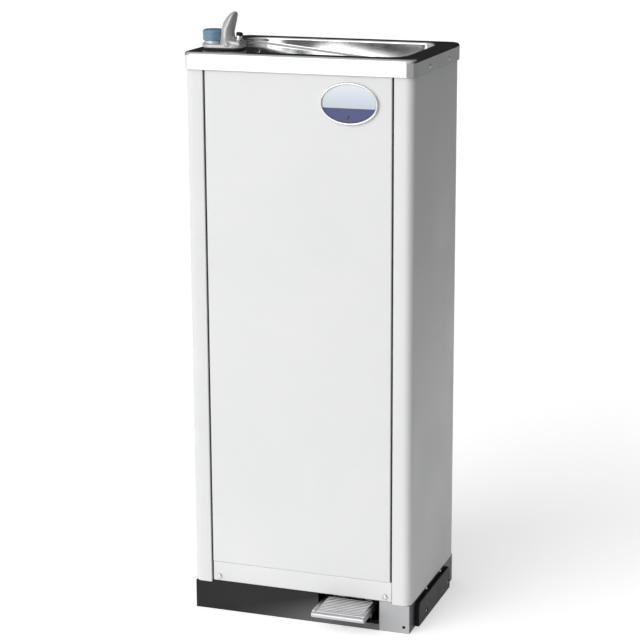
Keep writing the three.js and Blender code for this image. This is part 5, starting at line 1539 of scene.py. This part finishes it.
@dataclass
class Insides:
    """The pieces that keep the frame's shapes, smoothed or dressed as they are."""

    # The finish, the slot and the body of each group of smoothed nodes.
    smoothed: tuple[tuple[Finish, str, Body, tuple[str, ...]], ...] = (
        (BLACK_PLASTIC, "black_plastic", Body.CABINET,
         ("drain_tail", "drain_pipe", "terminal_box", "thermostat")),
        (BRASS, "brass", Body.CABINET, ("bubbler_shank", "shank_nut", "foot_valve", "water_inlet")),
        (ZINC, "galvanised", Body.CABINET, ("pedal_bracket", "tank_shelf", "fan_shroud")),
        (ZINC, "galvanised", Body.PEDAL, ("pedal_lever",)),
        (SATIN_STEEL, "chrome", Body.CABINET, ("pedal_shaft",)),
        (SATIN_STEEL, "chrome", Body.STEM, ("valve_stem",)),
        (SATIN_STEEL, "stainless", Body.CABINET, ("cold_tank",)),
        (WHITE_NYLON, "white_plastic", Body.CABINET, ("pedal_bush_left", "pedal_bush_right")),
        (COPPER, "copper", Body.CABINET,
         ("cooling_coil", "inlet_pipe", "tank_pipe", "supply_pipe", "filter_dryer")),
        (BLACK_PAINT, "black_paint", Body.CABINET, ("compressor", "fan_motor", "base_pan")),
        (RUBBER, "black_rubber", Body.CABINET,
         ("compressor_mount_left_front", "compressor_mount_left_back",
          "compressor_mount_right_front", "compressor_mount_right_back", "power_gland")),
        (FINS, "aluminium", Body.CABINET, ("condenser",)),
        (ALUMINIUM, "aluminium", Body.FAN, ("fan_blade",)),
    )
    dressed: tuple[tuple[Finish, tuple[str, ...]], ...] = (
        (WIRE, ("button_spring", "pedal_spring")),
        (CHROME, ("rail_screw_left", "rail_screw_right")),
    )

    def smooth(self, node: str, finish: Finish, slot: str, body: Body) -> None:
        """Makes a merged copy of a node that shades smoothly."""
        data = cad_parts[node].data.copy()
        mesh = bmesh.new()
        mesh.from_mesh(data)
        bpy.data.meshes.remove(data)
        bmesh.ops.remove_doubles(mesh, verts=mesh.verts, dist=0.01 * MM)
        bmesh.ops.dissolve_limit(mesh, angle_limit=math.radians(1), verts=mesh.verts, edges=mesh.edges)
        made = place_object(f"{node}_shown", mesh, 40)
        weigh(made)
        dress(made, finish, slot, node, body=body)

    def build(self) -> None:
        """Dresses every piece that has no finer shape of its own."""
        for finish, slot, body, nodes in self.smoothed:
            for node in nodes:
                self.smooth(node, finish, slot, body)
        for finish, nodes in self.dressed:
            for node in nodes:
                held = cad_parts[node]
                held.data.materials.clear()
                held.data.materials.append(finish.build())
                LOG.info("dressed %s", node)


@dataclass
class Studio:
    """The floor, sky, key light and camera."""

    yaw: float = 19.44
    pitch: float = 14.2
    roll: float = -0.26
    spot: tuple[float, float, float] = (0.902, -2.578, 1.100)
    lens: float = 112.78
    floor_half: float = 16.0
    key_strength: float = 1.1
    key_angle: float = 50.0
    key_way: tuple[float, float, float] = (-0.55, -1.0, 0.62)
    bright_way: tuple[float, float, float] = (-0.42, -0.85, 0.32)
    sky_bright: Color = (0.7, 0.7, 0.7)
    sky_box: Color = (2.3, 2.3, 2.3)
    sky_dim: Color = (0.2, 0.202, 0.205)
    sky_low: Color = (0.02, 0.0205, 0.021)
    floor_pale: Color = (0.8, 0.8, 0.8)
    floor_grey: Color = (0.33, 0.332, 0.335)
    fade: Point = (0.5, 1.25)
    front_fade: Point = (-1.1, -1.6)
    lift: float = 0.6
    front_lift: float = 0.5

    def camera(self) -> None:
        """Places the camera."""
        data = bpy.data.cameras.new("camera")
        data.lens = self.lens
        data.sensor_width = 36.0
        camera = bpy.data.objects.new("camera", data)
        bpy.context.scene.collection.objects.link(camera)
        yaw, pitch, roll = (math.radians(angle) for angle in (self.yaw, self.pitch, self.roll))
        back = Vector((math.sin(yaw) * math.cos(pitch), -math.cos(yaw) * math.cos(pitch), math.sin(pitch)))
        right = Vector((math.cos(yaw), math.sin(yaw), 0.0))
        up = back.cross(right)
        side = right * math.cos(roll) + up * math.sin(roll)
        top = up * math.cos(roll) - right * math.sin(roll)
        camera.matrix_world = Matrix((
            (side.x, top.x, back.x, self.spot[0]),
            (side.y, top.y, back.y, self.spot[1]),
            (side.z, top.z, back.z, self.spot[2]),
            (0.0, 0.0, 0.0, 1.0)))
        bpy.context.scene.camera = camera

    def seen(self, tree: Tree) -> bpy.types.NodeSocket:
        """Returns 1 for rays that come straight from the eye, or by a mirror or glass."""
        path = tree.add("ShaderNodeLightPath")
        shiny = tree.math("MAXIMUM", path.outputs["Is Glossy Ray"], path.outputs["Is Transmission Ray"])
        return tree.math("MAXIMUM", path.outputs["Is Camera Ray"], shiny)

    def world(self) -> None:
        """Makes a soft sky, bright in front of the fountain and dim behind it."""
        world = bpy.data.worlds.new("studio sky")
        bpy.context.scene.world = world
        world.use_nodes = True
        tree = Tree(world.node_tree)
        background = world.node_tree.nodes["Background"]
        way = tree.add("ShaderNodeTexCoord").outputs["Generated"]
        facing = tree.add("ShaderNodeVectorMath", {0: way, 1: self.bright_way}, operation="DOT_PRODUCT")
        share = tree.step(facing.outputs["Value"], -0.4, 0.75)
        high = tree.step(tree.part(way, 2), 0.3, 0.62)
        behind = tree.mix(high, self.sky_low, self.sky_dim)
        soft = tree.mix(share, behind, self.sky_bright)
        box = tree.step(facing.outputs["Value"], 0.86, 0.93)
        tree.tree.links.new(tree.mix(box, soft, self.sky_box), background.inputs["Color"])
        background.inputs["Strength"].default_value = 1.0

    def floor(self) -> None:
        """Makes the pale floor, which keeps the shadow."""
        half = self.floor_half
        made = place_object("floor", slab((-half, -half, -0.02), (half, half, 0)))
        material = bpy.data.materials.new("pale floor")
        material.use_nodes = True
        tree = Tree(material.node_tree)
        shader = material.node_tree.nodes["Principled BSDF"]
        place = tree.place()
        share = tree.step(tree.part(place, 0), *self.fade)
        color = tree.mix(share, self.floor_pale, self.floor_grey)
        front = tree.math("MULTIPLY", tree.step(tree.part(place, 1), *self.front_fade), self.front_lift)
        tree.tree.links.new(color, shader.inputs["Base Color"])
        shader.inputs["Roughness"].default_value = 0.9
        shader.inputs["Specular IOR Level"].default_value = 0.1
        both = tree.math("ADD", tree.spread(share, self.lift, 0.0), front)
        glow = tree.math("MULTIPLY", self.seen(tree), both)
        tree.tree.links.new(color, shader.inputs["Emission Color"])
        tree.tree.links.new(glow, shader.inputs["Emission Strength"])
        made.data.materials.append(material)

    def key(self) -> None:
        """Makes the soft key light from the front left."""
        data = bpy.data.lights.new("key", "SUN")
        data.energy = self.key_strength
        data.angle = math.radians(self.key_angle)
        lamp = bpy.data.objects.new("key", data)
        lamp.visible_glossy = False
        bpy.context.scene.collection.objects.link(lamp)
        towards = Vector(self.key_way).normalized()
        lamp.matrix_world = towards.to_track_quat("Z", "Y").to_matrix().to_4x4()

    def build(self) -> None:
        """Sets up the studio."""
        bpy.context.scene.view_settings.view_transform = "Standard"
        self.world()
        self.floor()
        self.key()
        self.camera()


def main() -> None:
    """Builds and dresses the fountain in its studio."""
    logging.basicConfig(level=logging.INFO, format="%(message)s")
    Studio().build()
    Base().build()
    Cabinet().build()
    BasinTop().build()
    Bubbler().build()
    Badge().build()
    Pedal().build()
    Back().build()
    Insides().build()


if __name__ == "__main__":
    main()
